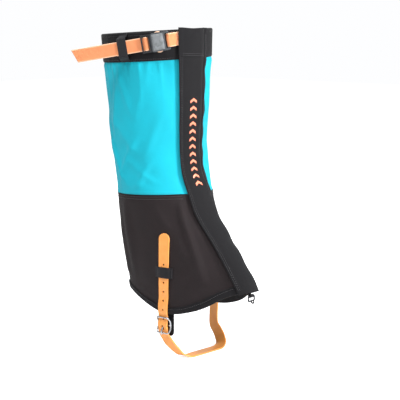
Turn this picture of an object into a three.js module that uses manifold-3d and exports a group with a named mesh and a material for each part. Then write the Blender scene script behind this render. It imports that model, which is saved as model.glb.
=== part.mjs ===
// Calf-high gaiter for the right leg: a two-panel fabric tube that opens down the front under a flap,
// held by a buckled strap round the top hem and by a stirrup strap under the shoe.
// Millimetres. +Z is up, -Y is the toe side, -X is the outer side of the leg.
// The origin is on the ground, under the axis of the leg.
import * as THREE from 'three';
import { mergeVertices } from 'three/addons/utils/BufferGeometryUtils.js';
import Module from 'manifold-3d';

const wasm = await Module();
wasm.setup();

// ---------------------------------------------------------------- driving dimensions

// Horizontal sections of the body, from the shoe to the knee: how far it reaches to the front and back,
// its half width, and how much narrower it is in front than behind.
const SECTIONS = [
  { z: 70, front: -198, back: 35, half: 46, narrow: 0.36 },
  { z: 117, front: -165, back: 42, half: 48, narrow: 0.32 },
  { z: 163, front: -125, back: 49, half: 52, narrow: 0.22 },
  { z: 193, front: -101, back: 51, half: 56, narrow: 0.14 },
  { z: 219, front: -90, back: 51, half: 60, narrow: 0.1 },
  { z: 246, front: -78.2, back: 54.5, half: 60.7, narrow: 0.07 },
  { z: 270, front: -75, back: 57.5, half: 61.7, narrow: 0.05 },
  { z: 357, front: -77.5, back: 68, half: 67, narrow: 0.02 },
  { z: 440, front: -78, back: 76, half: 71.8, narrow: 0 },
];
// Height of the bottom edge, by the angle from the front.
const HEM = [
  { turn: 0, z: 99 },
  { turn: 27, z: 97 },
  { turn: 48, z: 88 },
  { turn: 68, z: 73 },
  { turn: 88, z: 61 },
  { turn: 99, z: 59 },
  { turn: 110, z: 64 },
  { turn: 138, z: 79 },
  { turn: 180, z: 79 },
];
// Angle of the flap's sewn edge, by height. Angles grow from the front towards the outer side.
const SEWN_EDGE = [
  { z: 90, turn: -19 },
  { z: 150, turn: -24 },
  { z: 190, turn: -22 },
  { z: 219, turn: -16 },
  { z: 262, turn: -9 },
  { z: 350, turn: -8.5 },
  { z: 445, turn: -8.5 },
];
const FREE_EDGE_TURN = 26; // of the flap, and how much wider the flap is below the ankle
const FREE_EDGE_FLARE = 2.5;
const RIM_Z = 440;
const RIM_RISE = 4.2; // the rim is higher towards the inner front
const RIM_RISE_TURN = -42;
const SEAM_Z = 219.5; // seam between the two body panels
const SEAM_RISE = 3.5;
const TOP_HEM_HEIGHT = 38.5;
const BINDING_HEIGHT = 9;
const ANKLE_Z = 254; // above this height the flap opens
const FLAP_BAND_HEIGHT = 33;

const FABRIC = 1; // thickness of each fabric layer
const GAP = 0.4; // between layers that lie on each other
const COLUMNS = 40; // facets round the body
const WEBBING = 1.4;

const TOP_STRAP_TURN = 56; // where the top strap touches the hem
const TOP_STRAP_Z = 424;
const TOP_STRAP_SLOPE = 9.7; // degrees, rising to the front
const TOP_STRAP_WIDTH = 18;
const BUCKLE_WIDTH = 25;

const STIRRUP_WIDTH = 16;
const STIRRUP_THICK = 1.8;
const STIRRUP_Y = -62;
const STIRRUP_TIP_Z = 170;
const SOLE_Y = -90; // where the strap crosses under the shoe
const STIRRUP_KEEPER_Z = [108.5, 123.5];
const HOLE_PITCH = 12.5;
const HOLE_RADIUS = 2;
const PRONG_HOLE_Z = 39.4;
const STIRRUP_BUCKLE_Z = 43.5; // its centre bar
const STIRRUP_BUCKLE_SIZE = 24;
const WIRE = 1.1; // radius of the stirrup buckle's wire
const PRONG_HOLE_DROP = 3.4; // of the oblong hole the prong stands in, below the centre bar
const PRONG_HOLE_STRETCH = 3.2;

// ---------------------------------------------------------------- colours

const COLOURS = {
  turquoise: { color: 0x25c4dc, roughness: 0.85, metalness: 0 },
  canvas: { color: 0x2f2b2d, roughness: 0.8, metalness: 0 },
  black: { color: 0x242226, roughness: 0.85, metalness: 0 },
  fastener: { color: 0x1c1c1f, roughness: 1, metalness: 0 },
  salmon: { color: 0xf58f52, roughness: 0.75, metalness: 0 },
  orange: { color: 0xff9d45, roughness: 0.45, metalness: 0 },
  greyPlastic: { color: 0x6d7275, roughness: 0.4, metalness: 0 },
  blackPlastic: { color: 0x2a2a2c, roughness: 0.4, metalness: 0 },
  steel: { color: 0xc9cbd0, roughness: 0.25, metalness: 1 },
  blackMetal: { color: 0x26272a, roughness: 0.35, metalness: 1 },
};

// ---------------------------------------------------------------- helpers

const gaiter = new THREE.Group();
gaiter.name = 'gaiter';

/** Reads a smooth curve through a list of stations. */
function smoothCurve(stations, key, values) {
  const positions = stations.map((station) => station[key]);
  const samples = stations.flatMap((station) => values.map((value) => station[value]));
  const interpolant = new THREE.CubicInterpolant(positions, samples, values.length);
  return (x) => Array.from(interpolant.evaluate(x));
}

/** The value a fraction of the way along a list of numbers. */
function along(list, fraction) {
  const position = fraction * (list.length - 1);
  const index = Math.min(Math.floor(position), list.length - 2);
  return THREE.MathUtils.lerp(list[index], list[index + 1], position - index);
}

/** Evenly spaced numbers from one value to another, both included. */
function spread(from, to, steps) {
  return Array.from({ length: steps + 1 }, (_, i) => THREE.MathUtils.lerp(from, to, i / steps));
}

function signedVolume(geometry) {
  const position = geometry.getAttribute('position');
  const corner = [new THREE.Vector3(), new THREE.Vector3(), new THREE.Vector3()];
  let volume = 0;
  for (let i = 0; i < geometry.index.count; i += 3) {
    corner.forEach((point, k) => point.fromBufferAttribute(position, geometry.index.getX(i + k)));
    volume += corner[0].dot(corner[1].clone().cross(corner[2])) / 6;
  }
  return volume;
}

/** Joins coincident vertices and turns every face outwards. */
function welded(geometry) {
  const plain = geometry.clone();
  plain.deleteAttribute('normal');
  plain.deleteAttribute('uv');
  const joined = mergeVertices(plain, 1e-4);
  if (signedVolume(joined) < 0) {
    joined.index.array.reverse();
  }
  return joined;
}

/** Moves each vertex of a geometry to place(x, y, z). */
function warped(geometry, place) {
  const position = geometry.getAttribute('position');
  for (let i = 0; i < position.count; i += 1) {
    const moved = place(position.getX(i), position.getY(i), position.getZ(i));
    position.setXYZ(i, moved.x, moved.y, moved.z);
  }
  return geometry;
}

/** A bent slab: place(u, v, w) gives its points, with u, v and w from 0 to 1 and w through its thickness. */
function slab(columns, rows, place) {
  const box = new THREE.BoxGeometry(1, 1, 1, columns, rows, 1);
  return welded(warped(box, (x, y, z) => place(x + 0.5, y + 0.5, z + 0.5)));
}

function toManifold(geometry) {
  const solid = welded(geometry);
  return new wasm.Manifold(new wasm.Mesh({
    numProp: 3,
    vertProperties: new Float32Array(solid.getAttribute('position').array),
    triVerts: new Uint32Array(solid.index.array),
  }));
}

function fromManifold(solid) {
  const mesh = solid.getMesh();
  const geometry = new THREE.BufferGeometry();
  geometry.setAttribute('position', new THREE.BufferAttribute(mesh.vertProperties, 3));
  geometry.setIndex(new THREE.BufferAttribute(mesh.triVerts, 1));
  return geometry;
}

function joinedSolids(...geometries) {
  const [first, ...others] = geometries.map(toManifold);
  return fromManifold(others.reduce((sum, solid) => sum.add(solid), first));
}

function cutSolid(geometry, ...cutters) {
  const whole = toManifold(geometry);
  return fromManifold(cutters.map(toManifold).reduce((rest, solid) => rest.subtract(solid), whole));
}

/** A box between two corners. */
function block(low, high) {
  const size = high.map((value, i) => value - low[i]);
  const box = new THREE.BoxGeometry(...size);
  return box.translate(...low.map((value, i) => value + size[i] / 2));
}

/** A flat outline raised from one height to another along the third axis. */
function plate(outline, from, to, curveSegments = 4) {
  const shape = outline instanceof THREE.Shape ? outline : new THREE.Shape(outline);
  const options = { depth: to - from, bevelEnabled: false, curveSegments };
  return new THREE.ExtrudeGeometry(shape, options).translate(0, 0, from);
}

/** A rectangle with rounded corners, as an outline or a hole. */
function roundedRectangle(path, left, bottom, width, height, radius) {
  const [right, top] = [left + width, bottom + height];
  path.moveTo(left + radius, bottom);
  path.lineTo(right - radius, bottom);
  path.absarc(right - radius, bottom + radius, radius, -Math.PI / 2, 0, false);
  path.lineTo(right, top - radius);
  path.absarc(right - radius, top - radius, radius, 0, Math.PI / 2, false);
  path.lineTo(left + radius, top);
  path.absarc(left + radius, top - radius, radius, Math.PI / 2, Math.PI, false);
  path.lineTo(left, bottom + radius);
  path.absarc(left + radius, bottom + radius, radius, Math.PI, 1.5 * Math.PI, false);
  return path;
}

function circle(radius) {
  return new THREE.Shape().absarc(0, 0, radius, 0, 2 * Math.PI, false);
}

/** A round bar along a curve, closed in a ring if the curve is closed. */
function bar(curve, radius, steps, sides = 3) {
  const options = { steps, extrudePath: curve, bevelEnabled: false, curveSegments: sides };
  return new THREE.ExtrudeGeometry(circle(radius), options);
}

/** A strip that follows a list of centre points in the plane of its first and third axes. */
function strip(centres, halfWidth, thickness) {
  const normals = centres.map((_, i) => {
    const before = centres[Math.max(i - 1, 0)];
    const after = centres[Math.min(i + 1, centres.length - 1)];
    return after.clone().sub(before).normalize().rotateAround(new THREE.Vector2(), Math.PI / 2);
  });
  return slab(1, centres.length - 1, (u, v, w) => {
    const i = Math.round(v * (centres.length - 1));
    const point = centres[i].clone().addScaledVector(normals[i], (w - 0.5) * thickness);
    return new THREE.Vector3(point.x, (2 * u - 1) * halfWidth, point.y);
  });
}

function addPart(name, geometry, colour, frame) {
  const solid = welded(geometry);
  if (frame) {
    solid.applyMatrix4(frame);
  }
  solid.computeVertexNormals();
  const mesh = new THREE.Mesh(solid, new THREE.MeshStandardMaterial(COLOURS[colour]));
  mesh.name = name;
  gaiter.add(mesh);
}

// ---------------------------------------------------------------- the body's surface

const sectionAt = smoothCurve(SECTIONS, 'z', ['front', 'back', 'half', 'narrow']);
const hemHeight = smoothCurve(HEM, 'turn', ['z']);
const sewnAngle = smoothCurve(SEWN_EDGE, 'z', ['turn']);

const hemZ = (turn) => hemHeight(Math.abs(turn > 180 ? turn - 360 : turn))[0];
const rimZ = (turn) => RIM_Z + RIM_RISE * Math.cos(THREE.MathUtils.degToRad(turn - RIM_RISE_TURN));
const seamZ = (turn) => SEAM_Z + SEAM_RISE * Math.cos(THREE.MathUtils.degToRad(turn));
const sewnTurn = (z) => sewnAngle(z)[0];

function bodyPoint(turn, z) {
  const [front, back, half, narrow] = sectionAt(z);
  const angle = THREE.MathUtils.degToRad(turn);
  const x = -half * Math.sin(angle) * (1 - narrow * Math.cos(angle));
  const y = (front + back) / 2 - ((back - front) / 2) * Math.cos(angle);
  return new THREE.Vector3(x, y, z);
}

/** A point at a distance outside the body's inner surface. */
function onBody(turn, z, offset) {
  const step = 0.05;
  const around = bodyPoint(turn + step, z).sub(bodyPoint(turn - step, z));
  const up = bodyPoint(turn, z + step).sub(bodyPoint(turn, z - step));
  return bodyPoint(turn, z).addScaledVector(up.cross(around).normalize(), offset);
}

// Distances of the fabric layers outside the body's inner surface.
const HEM_OUT = FABRIC + GAP;
const BINDING = 1.2; // thickness of the folded hem and binding
const OVER_HEM = HEM_OUT + BINDING + GAP;
const LOOP_OUT = FABRIC + GAP;
const LOOP = 0.8;
const HOOK_OUT = LOOP_OUT + LOOP + GAP;
const HOOK = 0.8;
const FLAP_OUT = HOOK_OUT + HOOK + GAP;
const SLIT = 3; // degrees between the underlap's edge and the sewn edge

// The body is open in front, under the flap's sewn edge.
const bodyTurn = (u, z) => THREE.MathUtils.lerp(sewnTurn(z) + SLIT, 360 + sewnTurn(z) - 0.5, u);

/** How far a height is into the zone of the top hem, from 0 below it to 1. */
function topHemZone(turn, z) {
  const bottom = rimZ(turn) - TOP_HEM_HEIGHT;
  return THREE.MathUtils.smoothstep(z, bottom - 16, bottom - 2);
}

/** The same for the binding of the bottom edge. */
function bindingZone(turn, z) {
  const top = hemZ(turn) + BINDING_HEIGHT;
  return 1 - THREE.MathUtils.smoothstep(z, top + 3, top + 16);
}

// ---------------------------------------------------------------- body panels

/** A panel of the body between two edges, each a height by angle. */
function bodyPanel(bottom, top, rows) {
  return slab(COLUMNS, rows, (u, v, w) => {
    const turn = bodyTurn(u, THREE.MathUtils.lerp(bottom(0), top(0), v));
    const z = THREE.MathUtils.lerp(bottom(turn), top(turn), v);
    return onBody(bodyTurn(u, z), z, w * FABRIC);
  });
}

function upperPanel() {
  return bodyPanel((turn) => seamZ(turn) + GAP / 2, (turn) => rimZ(turn) - 2, 18);
}

function lowerPanel() {
  return bodyPanel((turn) => hemZ(turn) + 2, (turn) => seamZ(turn) - GAP / 2, 12);
}

/** A band folded over an edge of the body: it reaches down both faces by the two given heights. */
function foldedBand(edgeZ, direction, outerHeight, innerHeight) {
  const inner = [-GAP - BINDING, -GAP];
  const outer = [HEM_OUT, HEM_OUT + BINDING];
  const profile = [
    [inner[0], innerHeight], [inner[0], 0], [outer[1], 0], [outer[1], outerHeight],
    [outer[0], outerHeight], [outer[0], BINDING], [inner[1], BINDING], [inner[1], innerHeight],
  ].map(([offset, depth]) => new THREE.Vector2(offset, depth));
  const options = { depth: 1, steps: COLUMNS, bevelEnabled: false };
  const straight = new THREE.ExtrudeGeometry(new THREE.Shape(profile), options);
  return warped(straight, (offset, depth, u) => {
    const turn = bodyTurn(u, edgeZ(0) + direction * depth);
    const z = edgeZ(turn) + direction * depth;
    return onBody(bodyTurn(u, z), z, offset);
  });
}

function topHem() {
  return foldedBand(rimZ, -1, TOP_HEM_HEIGHT, 18);
}

function bottomBinding() {
  return foldedBand(hemZ, 1, BINDING_HEIGHT, BINDING_HEIGHT);
}

// ---------------------------------------------------------------- front flap and its fastener

const freeTurn = (z) => FREE_EDGE_TURN + FREE_EDGE_FLARE * (1 - THREE.MathUtils.smoothstep(z, 110, 160));
const flapBottomZ = (turn) => hemZ(turn) - 2;
const flapBandZ = (turn) => RIM_Z - FLAP_BAND_HEIGHT + 0.05 * (turn - FREE_EDGE_TURN);

/** Distance of the flap's inner face outside the body: close to the margin, then over the fastener. */
function flapOffset(turn, z) {
  const sewn = sewnTurn(z);
  const hem = topHemZone(turn, z);
  const margin = THREE.MathUtils.lerp(LOOP_OUT, OVER_HEM, Math.max(hem, bindingZone(turn, z)));
  const overFastener = THREE.MathUtils.lerp(FLAP_OUT, OVER_HEM + WEBBING + 2 * GAP, hem);
  return THREE.MathUtils.lerp(margin, overFastener, THREE.MathUtils.smoothstep(turn, sewn, sewn + 9));
}

/** A layer of the flap between two angles by height and two heights by angle. */
function flapLayer(from, to, bottom, top, columns, rows, offset, thickness) {
  return slab(columns, rows, (u, v, w) => {
    const guess = THREE.MathUtils.lerp(bottom(0), top(0), v);
    const turn = THREE.MathUtils.lerp(from(guess), to(guess), u);
    const z = THREE.MathUtils.lerp(bottom(turn), top(turn), v);
    const bent = THREE.MathUtils.lerp(from(z), to(z), u);
    return onBody(bent, z, offset(bent, z) + w * thickness);
  });
}

const HINGE_GAP = 1; // degrees between the sewn margin and the flap
const MARGIN = 5.5; // degrees
const flapStart = (z) => sewnTurn(z) + HINGE_GAP;
const marginStart = (z) => sewnTurn(z) - MARGIN;
const topOf = (turn) => rimZ(turn) + 1;

function flapUpper() {
  const bottom = () => ANKLE_Z + GAP;
  const top = (turn) => flapBandZ(turn) - GAP / 2;
  return flapLayer(flapStart, freeTurn, bottom, top, 7, 12, flapOffset, FABRIC);
}

function flapBand() {
  const bottom = (turn) => flapBandZ(turn) + GAP / 2;
  return flapLayer(flapStart, freeTurn, bottom, topOf, 7, 2, flapOffset, 1.5 * FABRIC);
}

function flapLower() {
  return flapLayer(flapStart, freeTurn, flapBottomZ, () => ANKLE_Z - GAP, 7, 12, flapOffset, FABRIC);
}

function flapMargin() {
  const edge = (z) => sewnTurn(z) - HINGE_GAP / 2;
  return flapLayer(marginStart, edge, flapBottomZ, topOf, 2, 24, flapOffset, FABRIC);
}

const fastenerStart = (z) => sewnTurn(z) + 11;
const fastenerEnd = (z) => freeTurn(z) - 5;
const fastenerTop = (turn) => rimZ(turn) - TOP_HEM_HEIGHT - 18;

function loopStrip() {
  const bottom = (turn) => hemZ(turn) + 13;
  return flapLayer(fastenerStart, fastenerEnd, bottom, fastenerTop, 4, 24, () => LOOP_OUT, LOOP);
}

function hookStrip(bottom, top, rows) {
  return flapLayer(fastenerStart, fastenerEnd, bottom, top, 4, rows, () => HOOK_OUT, HOOK);
}

// ---------------------------------------------------------------- top strap and side-release buckle

// The strap's own frame: x runs along it to the front, y is across it and up, z points away from the leg.
function topStrapFrame() {
  const contact = onBody(TOP_STRAP_TURN, TOP_STRAP_Z, OVER_HEM);
  const step = 0.5;
  const behind = bodyPoint(TOP_STRAP_TURN + step, TOP_STRAP_Z);
  const forward = bodyPoint(TOP_STRAP_TURN - step, TOP_STRAP_Z).sub(behind);
  const outward = new THREE.Vector3(forward.y, -forward.x, 0).normalize();
  const slope = Math.tan(THREE.MathUtils.degToRad(TOP_STRAP_SLOPE));
  const x = forward.normalize().add(new THREE.Vector3(0, 0, slope)).normalize();
  const y = outward.clone().cross(x);
  return new THREE.Matrix4().makeBasis(x, y, outward).setPosition(contact);
}

const STRAP_FRAME = topStrapFrame();
const KEEPER_X = [-41, -28.5];
const KEEPER_WALL = 1.2;
const TAIL_X = [-105, -42.5];
const TAIL_GAP = 0.6; // lets the tail turn beside the end of the run
const MALE_X = [-8, 5.5];
const FEMALE_X = [6, 30];
const PLUG_DEPTH = 15.5;
const LOWER_RUN = WEBBING / 2; // height of the middle of the run from the anchor
const UPPER_RUN = LOWER_RUN + WEBBING + GAP; // and of the run to the tail
const HALF_STRAP = TOP_STRAP_WIDTH / 2;
const MIDDLE_BAR_X = [MALE_X[0] + 5.2, MALE_X[0] + 7.4];
const TONGUE_Z = [2.6, 4.6];
const ARM_Z = [2.4, 5];
const ARM_ROOT_X = MALE_X[1] + 0.4; // the arms flex about this end
const FRONT_BAR_TOP = 3; // bar of the female half that its webbing wraps

/** The surface of the hem under a point of the strap's frame. */
function hemUnderStrap(x, y, offset) {
  const radius = 77;
  const turn = TOP_STRAP_TURN - THREE.MathUtils.radToDeg(x / radius);
  const height = new THREE.Vector3(x, y, 0).applyMatrix4(STRAP_FRAME).z;
  return onBody(turn, height, offset);
}

function strapKeeper() {
  const overStrap = UPPER_RUN + WEBBING / 2 + GAP;
  const reach = 18.5;
  const rows = [0, 0.12, 0.2, 0.8, 0.88, 1];
  return slab(2, rows.length - 1, (u, v, w) => {
    const position = along(rows, v);
    const x = THREE.MathUtils.lerp(KEEPER_X[0], KEEPER_X[1], u);
    const y = (2 * position - 1) * reach;
    const onHem = hemUnderStrap(x, y, OVER_HEM + w * KEEPER_WALL);
    const bridge = new THREE.Vector3(x, y, overStrap + w * KEEPER_WALL).applyMatrix4(STRAP_FRAME);
    const raised = THREE.MathUtils.smoothstep(Math.abs(2 * position - 1), 0.62, 0.98);
    return bridge.lerp(onHem, raised);
  });
}

/** The run from the anchor under the keeper to the buckle's middle bar, lying on the hem at its anchor. */
function strapFixedRun() {
  const stations = spread(KEEPER_X[0] - 7, MIDDLE_BAR_X[1] + 0.8, 12);
  return slab(1, stations.length - 1, (u, v, w) => {
    const x = along(stations, v);
    const y = (2 * u - 1) * HALF_STRAP;
    const straight = new THREE.Vector3(x, y, w * WEBBING).applyMatrix4(STRAP_FRAME);
    const laid = hemUnderStrap(x, y, OVER_HEM + w * WEBBING);
    return straight.lerp(laid, THREE.MathUtils.smoothstep(-x, 18, 44));
  });
}

/** The run that wraps the middle bar and leads back under the end bar and through the keeper. */
function strapRun() {
  const middle = (MIDDLE_BAR_X[0] + MIDDLE_BAR_X[1]) / 2;
  const hump = new THREE.SplineCurve([
    [2.9, 0.3], [2.7, 3], [1.7, 4.9], [0, 5.35], [-1.7, 4.9], [-2.7, 3.5], [-4, 2.65], [-5.7, UPPER_RUN],
  ].map(([x, z]) => new THREE.Vector2(middle + x, z)));
  const straight = spread(middle - 8, TAIL_X[1] + TAIL_GAP, 3).map((x) => new THREE.Vector2(x, UPPER_RUN));
  return strip([...hump.getPoints(16), ...straight].reverse(), HALF_STRAP, WEBBING);
}

/** The free tail, cut off at a slant. */
function strapTail() {
  const slant = 7;
  return slab(1, 4, (u, v, w) => {
    const y = (2 * u - 1) * HALF_STRAP;
    const end = TAIL_X[0] + slant * (1 - u);
    return new THREE.Vector3(THREE.MathUtils.lerp(end, TAIL_X[1], v), y, UPPER_RUN + (w - 0.5) * WEBBING);
  });
}

function maleFrame() {
  const [rear, front] = MALE_X;
  const half = BUCKLE_WIDTH / 2 - 0.5;
  const opening = HALF_STRAP + 0.5;
  const overlap = 0.5;
  const rails = [-half, opening].map((low) => block([rear, low, 1.8], [front, low + half - opening, 5.6]));
  const endBar = block([rear, -opening - overlap, 3.7], [rear + 1.8, opening + overlap, 5.6]);
  const middleBar = block(
    [MIDDLE_BAR_X[0], -opening - overlap, 2.2],
    [MIDDLE_BAR_X[1], opening + overlap, 4],
  );
  const flange = block([front - 2.5, -half, 1], [front, half, 6.4]);
  const tongueOutline = [
    [-1, -3.5], [PLUG_DEPTH - 2, -3.5], [PLUG_DEPTH, -1.5],
    [PLUG_DEPTH, 1.5], [PLUG_DEPTH - 2, 3.5], [-1, 3.5],
  ].map(([x, y]) => new THREE.Vector2(front + x, y));
  return joinedSolids(flange, ...rails, endBar, middleBar, plate(tongueOutline, ...TONGUE_Z));
}

/** A release arm: a neck inside the socket's mouth, a latch shoulder, a finger pad and a tapered tip. */
function releaseArm(side) {
  const at = (x, y) => [ARM_ROOT_X + x, side * y];
  const outline = new THREE.Shape();
  outline.moveTo(...at(0, 6.8));
  outline.lineTo(...at(0, 9.2));
  outline.lineTo(...at(6.2, 9.8));
  outline.lineTo(...at(6.2, 12.8));
  outline.quadraticCurveTo(...at(9.5, 15), ...at(13, 12.8));
  outline.lineTo(...at(15, 9.6));
  outline.lineTo(...at(14, 8.4));
  outline.quadraticCurveTo(...at(9, 10.4), ...at(4, 7.4));
  outline.closePath();
  return plate(outline, ...ARM_Z);
}

function femaleBody() {
  const half = BUCKLE_WIDTH / 2;
  const wall = 1.2;
  const [rear, front] = FEMALE_X;
  const [bottom, top] = [0.2, 7.6];
  const room = [ARM_Z[0] - 0.6, ARM_Z[1] + 0.6];
  const outline = roundedRectangle(new THREE.Shape(), rear, -half, front - rear, 2 * half, 2.5);
  const socket = block([rear - 1, wall - half, room[0]], [rear + PLUG_DEPTH + 1.5, half - wall, room[1]]);
  const windows = block([rear + 5.5, -half - 1, room[0]], [rear + 15.7, half + 1, room[1]]);
  const slotHalf = HALF_STRAP + 0.6;
  const slot = block([front - 5, -slotHalf, bottom - 1], [front - 2, slotHalf, top + 1]);
  const overBar = block([front - 3, -slotHalf, FRONT_BAR_TOP], [front + 1, slotHalf, top + 1]);
  return cutSolid(plate(outline, bottom, top), socket, windows, slot, overBar);
}

/** The webbing that anchors the female half: round its front bar, down to the hem and in under the flap. */
function buckleWebbing() {
  const front = FEMALE_X[1];
  const lifted = new THREE.SplineCurve([
    [front - 0.6, -1], [front - 2.6, -0.7], [front - 3.5, 1.4], [front - 2.6, FRONT_BAR_TOP + 1],
    [front + 0.2, FRONT_BAR_TOP + 1], [front + 2.2, 0.4], [front + 4.4, -4.6],
  ].map(([x, z]) => new THREE.Vector2(x, z)));
  const points = lifted.getPoints(15);
  const normals = points
    .map((_, i) => lifted.getTangent(i / 15).rotateAround(new THREE.Vector2(), Math.PI / 2));
  const laidX = spread(front + 7.6, front + 27, 5);
  return slab(1, points.length + laidX.length - 1, (u, v, w) => {
    const row = Math.round(v * (points.length + laidX.length - 1));
    const y = (2 * u - 1) * HALF_STRAP;
    if (row >= points.length) {
      return hemUnderStrap(laidX[row - points.length], y, OVER_HEM + w * WEBBING);
    }
    const point = points[row].clone().addScaledVector(normals[row], (w - 0.5) * WEBBING);
    return new THREE.Vector3(point.x, y, point.y).applyMatrix4(STRAP_FRAME);
  });
}

// ---------------------------------------------------------------- stirrup strap and its buckle

/** Angle at which the body has the given y, on the outer side or (side -1) on the inner side. */
function turnAt(y, z, side = 1) {
  const [front, back] = sectionAt(z);
  const cosine = ((front + back) / 2 - y) / ((back - front) / 2);
  return side * THREE.MathUtils.radToDeg(Math.acos(cosine));
}

const BAR_OUT = 0.7; // centre bar of the stirrup buckle, outside the body's inner surface
const LOOP_RADIUS = [WIRE + 0.3, WIRE + 1.2]; // webbing loop round the centre bar
const STRAP_OVER_BAR = 2.9;
const STRAP_UNDER_BARS = 1;
const BAR_REACH = STIRRUP_BUCKLE_SIZE / 2 - WIRE;
const OUTER_BAR_RISE = STRAP_UNDER_BARS + STIRRUP_THICK + 2 * GAP + WIRE;
const TAB_OUT = -2 * GAP - BINDING - FABRIC;

/** The stirrup buckle's frame: origin in its centre bar, x across to the front, y up, z away from the leg. */
function stirrupBuckleFrame() {
  const centre = onBody(turnAt(STIRRUP_Y, STIRRUP_BUCKLE_Z), STIRRUP_BUCKLE_Z, BAR_OUT);
  const beyond = onBody(turnAt(STIRRUP_Y, STIRRUP_BUCKLE_Z), STIRRUP_BUCKLE_Z, BAR_OUT + 1);
  const outward = beyond.sub(centre).setZ(0).normalize();
  const up = new THREE.Vector3(0, 0, 1);
  return new THREE.Matrix4().makeBasis(up.clone().cross(outward), up, outward).setPosition(centre);
}

const BUCKLE_FRAME = stirrupBuckleFrame();

/** A station of the stirrup strap on the body: the middle of its inner face and its direction across. */
function strapStation(z, offset, side) {
  const turn = turnAt(STIRRUP_Y, z, side);
  const across = onBody(turn + 1, z, offset).sub(onBody(turn - 1, z, offset)).multiplyScalar(side);
  return { at: onBody(turn, z, offset), across: across.setZ(0).normalize() };
}

const ON_PANEL = FABRIC + GAP;

function stirrupStations() {
  const down = (z, offset) => strapStation(z, BAR_OUT + offset, 1);
  const outer = [
    ...[124, 110, 96, 82].map((z) => strapStation(z, ON_PANEL, 1)),
    strapStation(70, OVER_HEM, 1),
    strapStation(61, OVER_HEM, 1),
    down(STIRRUP_BUCKLE_Z + BAR_REACH, STRAP_UNDER_BARS),
    down(STIRRUP_BUCKLE_Z + BAR_REACH / 2, (STRAP_UNDER_BARS + STRAP_OVER_BAR) / 2),
    down(STIRRUP_BUCKLE_Z, STRAP_OVER_BAR),
    down(STIRRUP_BUCKLE_Z - BAR_REACH / 2, (STRAP_UNDER_BARS + STRAP_OVER_BAR) / 2),
    down(STIRRUP_BUCKLE_Z - BAR_REACH, STRAP_UNDER_BARS),
  ];
  const across = new THREE.Vector3(0, 1, 0);
  const under = [
    [48, -65, 26],
    [47, -71.5, 19.5],
    [44.5, -79, 12.5],
    [39.5, -86, 5.5],
    [30, SOLE_Y, STIRRUP_THICK + 0.3],
    [20, SOLE_Y, STIRRUP_THICK],
    [10, SOLE_Y, STIRRUP_THICK],
  ];
  const toMiddle = under.map(([x, y, z]) => ({ at: new THREE.Vector3(-x, y, z), across }));
  const fromMiddle = [...under].reverse().map(([x, y, z]) => ({ at: new THREE.Vector3(x, y, z), across }));
  const inner = [[42, OVER_HEM - 1], [56, OVER_HEM], [70, OVER_HEM], [86, OVER_HEM]]
    .map(([z, offset]) => strapStation(z, offset, -1));
  return [...outer, ...toMiddle, ...fromMiddle, ...inner];
}

const strapPath = stirrupStations();
const strapLine = new THREE.CatmullRomCurve3(strapPath.map((station) => station.at));
const strapAcross = new THREE.CatmullRomCurve3(strapPath.map((station) => station.across));

/** Middle of the strap's inner face with its directions along, across and out, part way along it. */
function strapAxes(fraction) {
  const tangent = strapLine.getTangent(fraction);
  const across = strapAcross.getPoint(fraction);
  across.addScaledVector(tangent, -across.dot(tangent)).normalize();
  const out = across.clone().cross(tangent);
  return { at: strapLine.getPoint(fraction), tangent, across, out };
}

/** The strap's frame at a height on the outer side, for cutting holes. */
function strapFrameAt(z) {
  let [low, high] = [0, 0.5];
  for (let i = 0; i < 24; i += 1) {
    const middle = (low + high) / 2;
    if (strapLine.getPoint(middle).z > z) {
      low = middle;
    } else {
      high = middle;
    }
  }
  const { at, tangent, across, out } = strapAxes(low);
  return new THREE.Matrix4().makeBasis(across, tangent.negate(), out.clone()).setPosition(at);
}

/** A pin that cuts a hole through the strap, long enough for its thickness; stretch makes the hole oblong. */
function holeCutter(frame, stretch = 0) {
  const outline = new THREE.Shape();
  outline.absarc(0, stretch / 2, HOLE_RADIUS, 0, Math.PI, false);
  outline.absarc(0, -stretch / 2, HOLE_RADIUS, Math.PI, 2 * Math.PI, false);
  return plate(outline, -1, STIRRUP_THICK + 1, 6).applyMatrix4(frame);
}

function stirrupStrap() {
  const rows = 2 * (strapPath.length - 1);
  const strap = slab(1, rows, (u, v, w) => {
    const { at, across, out } = strapAxes(v);
    return at.addScaledVector(across, (u - 0.5) * STIRRUP_WIDTH).addScaledVector(out, w * STIRRUP_THICK);
  });
  const heights = spread(PRONG_HOLE_Z, PRONG_HOLE_Z + 6 * HOLE_PITCH, 6);
  const cutters = heights.slice(1).map((z) => holeCutter(strapFrameAt(z)));
  const prongHole = holeCutter(strapFrameAt(STIRRUP_BUCKLE_Z - PRONG_HOLE_DROP), PRONG_HOLE_STRETCH);
  return cutSolid(strap, prongHole, ...cutters);
}

const TIP_Z = [STIRRUP_KEEPER_Z[1] + 1, STIRRUP_TIP_Z];

/** The free end of the strap above its keeper, with a round tip and the last hole. */
function stirrupTip() {
  const half = STIRRUP_WIDTH / 2;
  const straight = spread(TIP_Z[0], TIP_Z[1] - half, 4);
  const round = spread(15, 78, 5)
    .map((degrees) => TIP_Z[1] - half + half * Math.sin(THREE.MathUtils.degToRad(degrees)));
  const heights = [...straight, ...round];
  const tip = slab(2, heights.length - 1, (u, v, w) => {
    const z = heights[Math.round(v * (heights.length - 1))];
    const beyond = Math.max(0, z - (TIP_Z[1] - half));
    const { at, across } = strapStation(z, ON_PANEL + w * STIRRUP_THICK, 1);
    return at.addScaledVector(across, (2 * u - 1) * Math.sqrt(half ** 2 - beyond ** 2));
  });
  const z = PRONG_HOLE_Z + 7 * HOLE_PITCH;
  const { at, across } = strapStation(z, ON_PANEL, 1);
  const up = strapStation(z + 1, ON_PANEL, 1).at.sub(at).normalize();
  const out = across.clone().cross(up).negate();
  const frame = new THREE.Matrix4().makeBasis(up.clone().cross(out), up, out).setPosition(at);
  return cutSolid(tip, holeCutter(frame));
}

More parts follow.
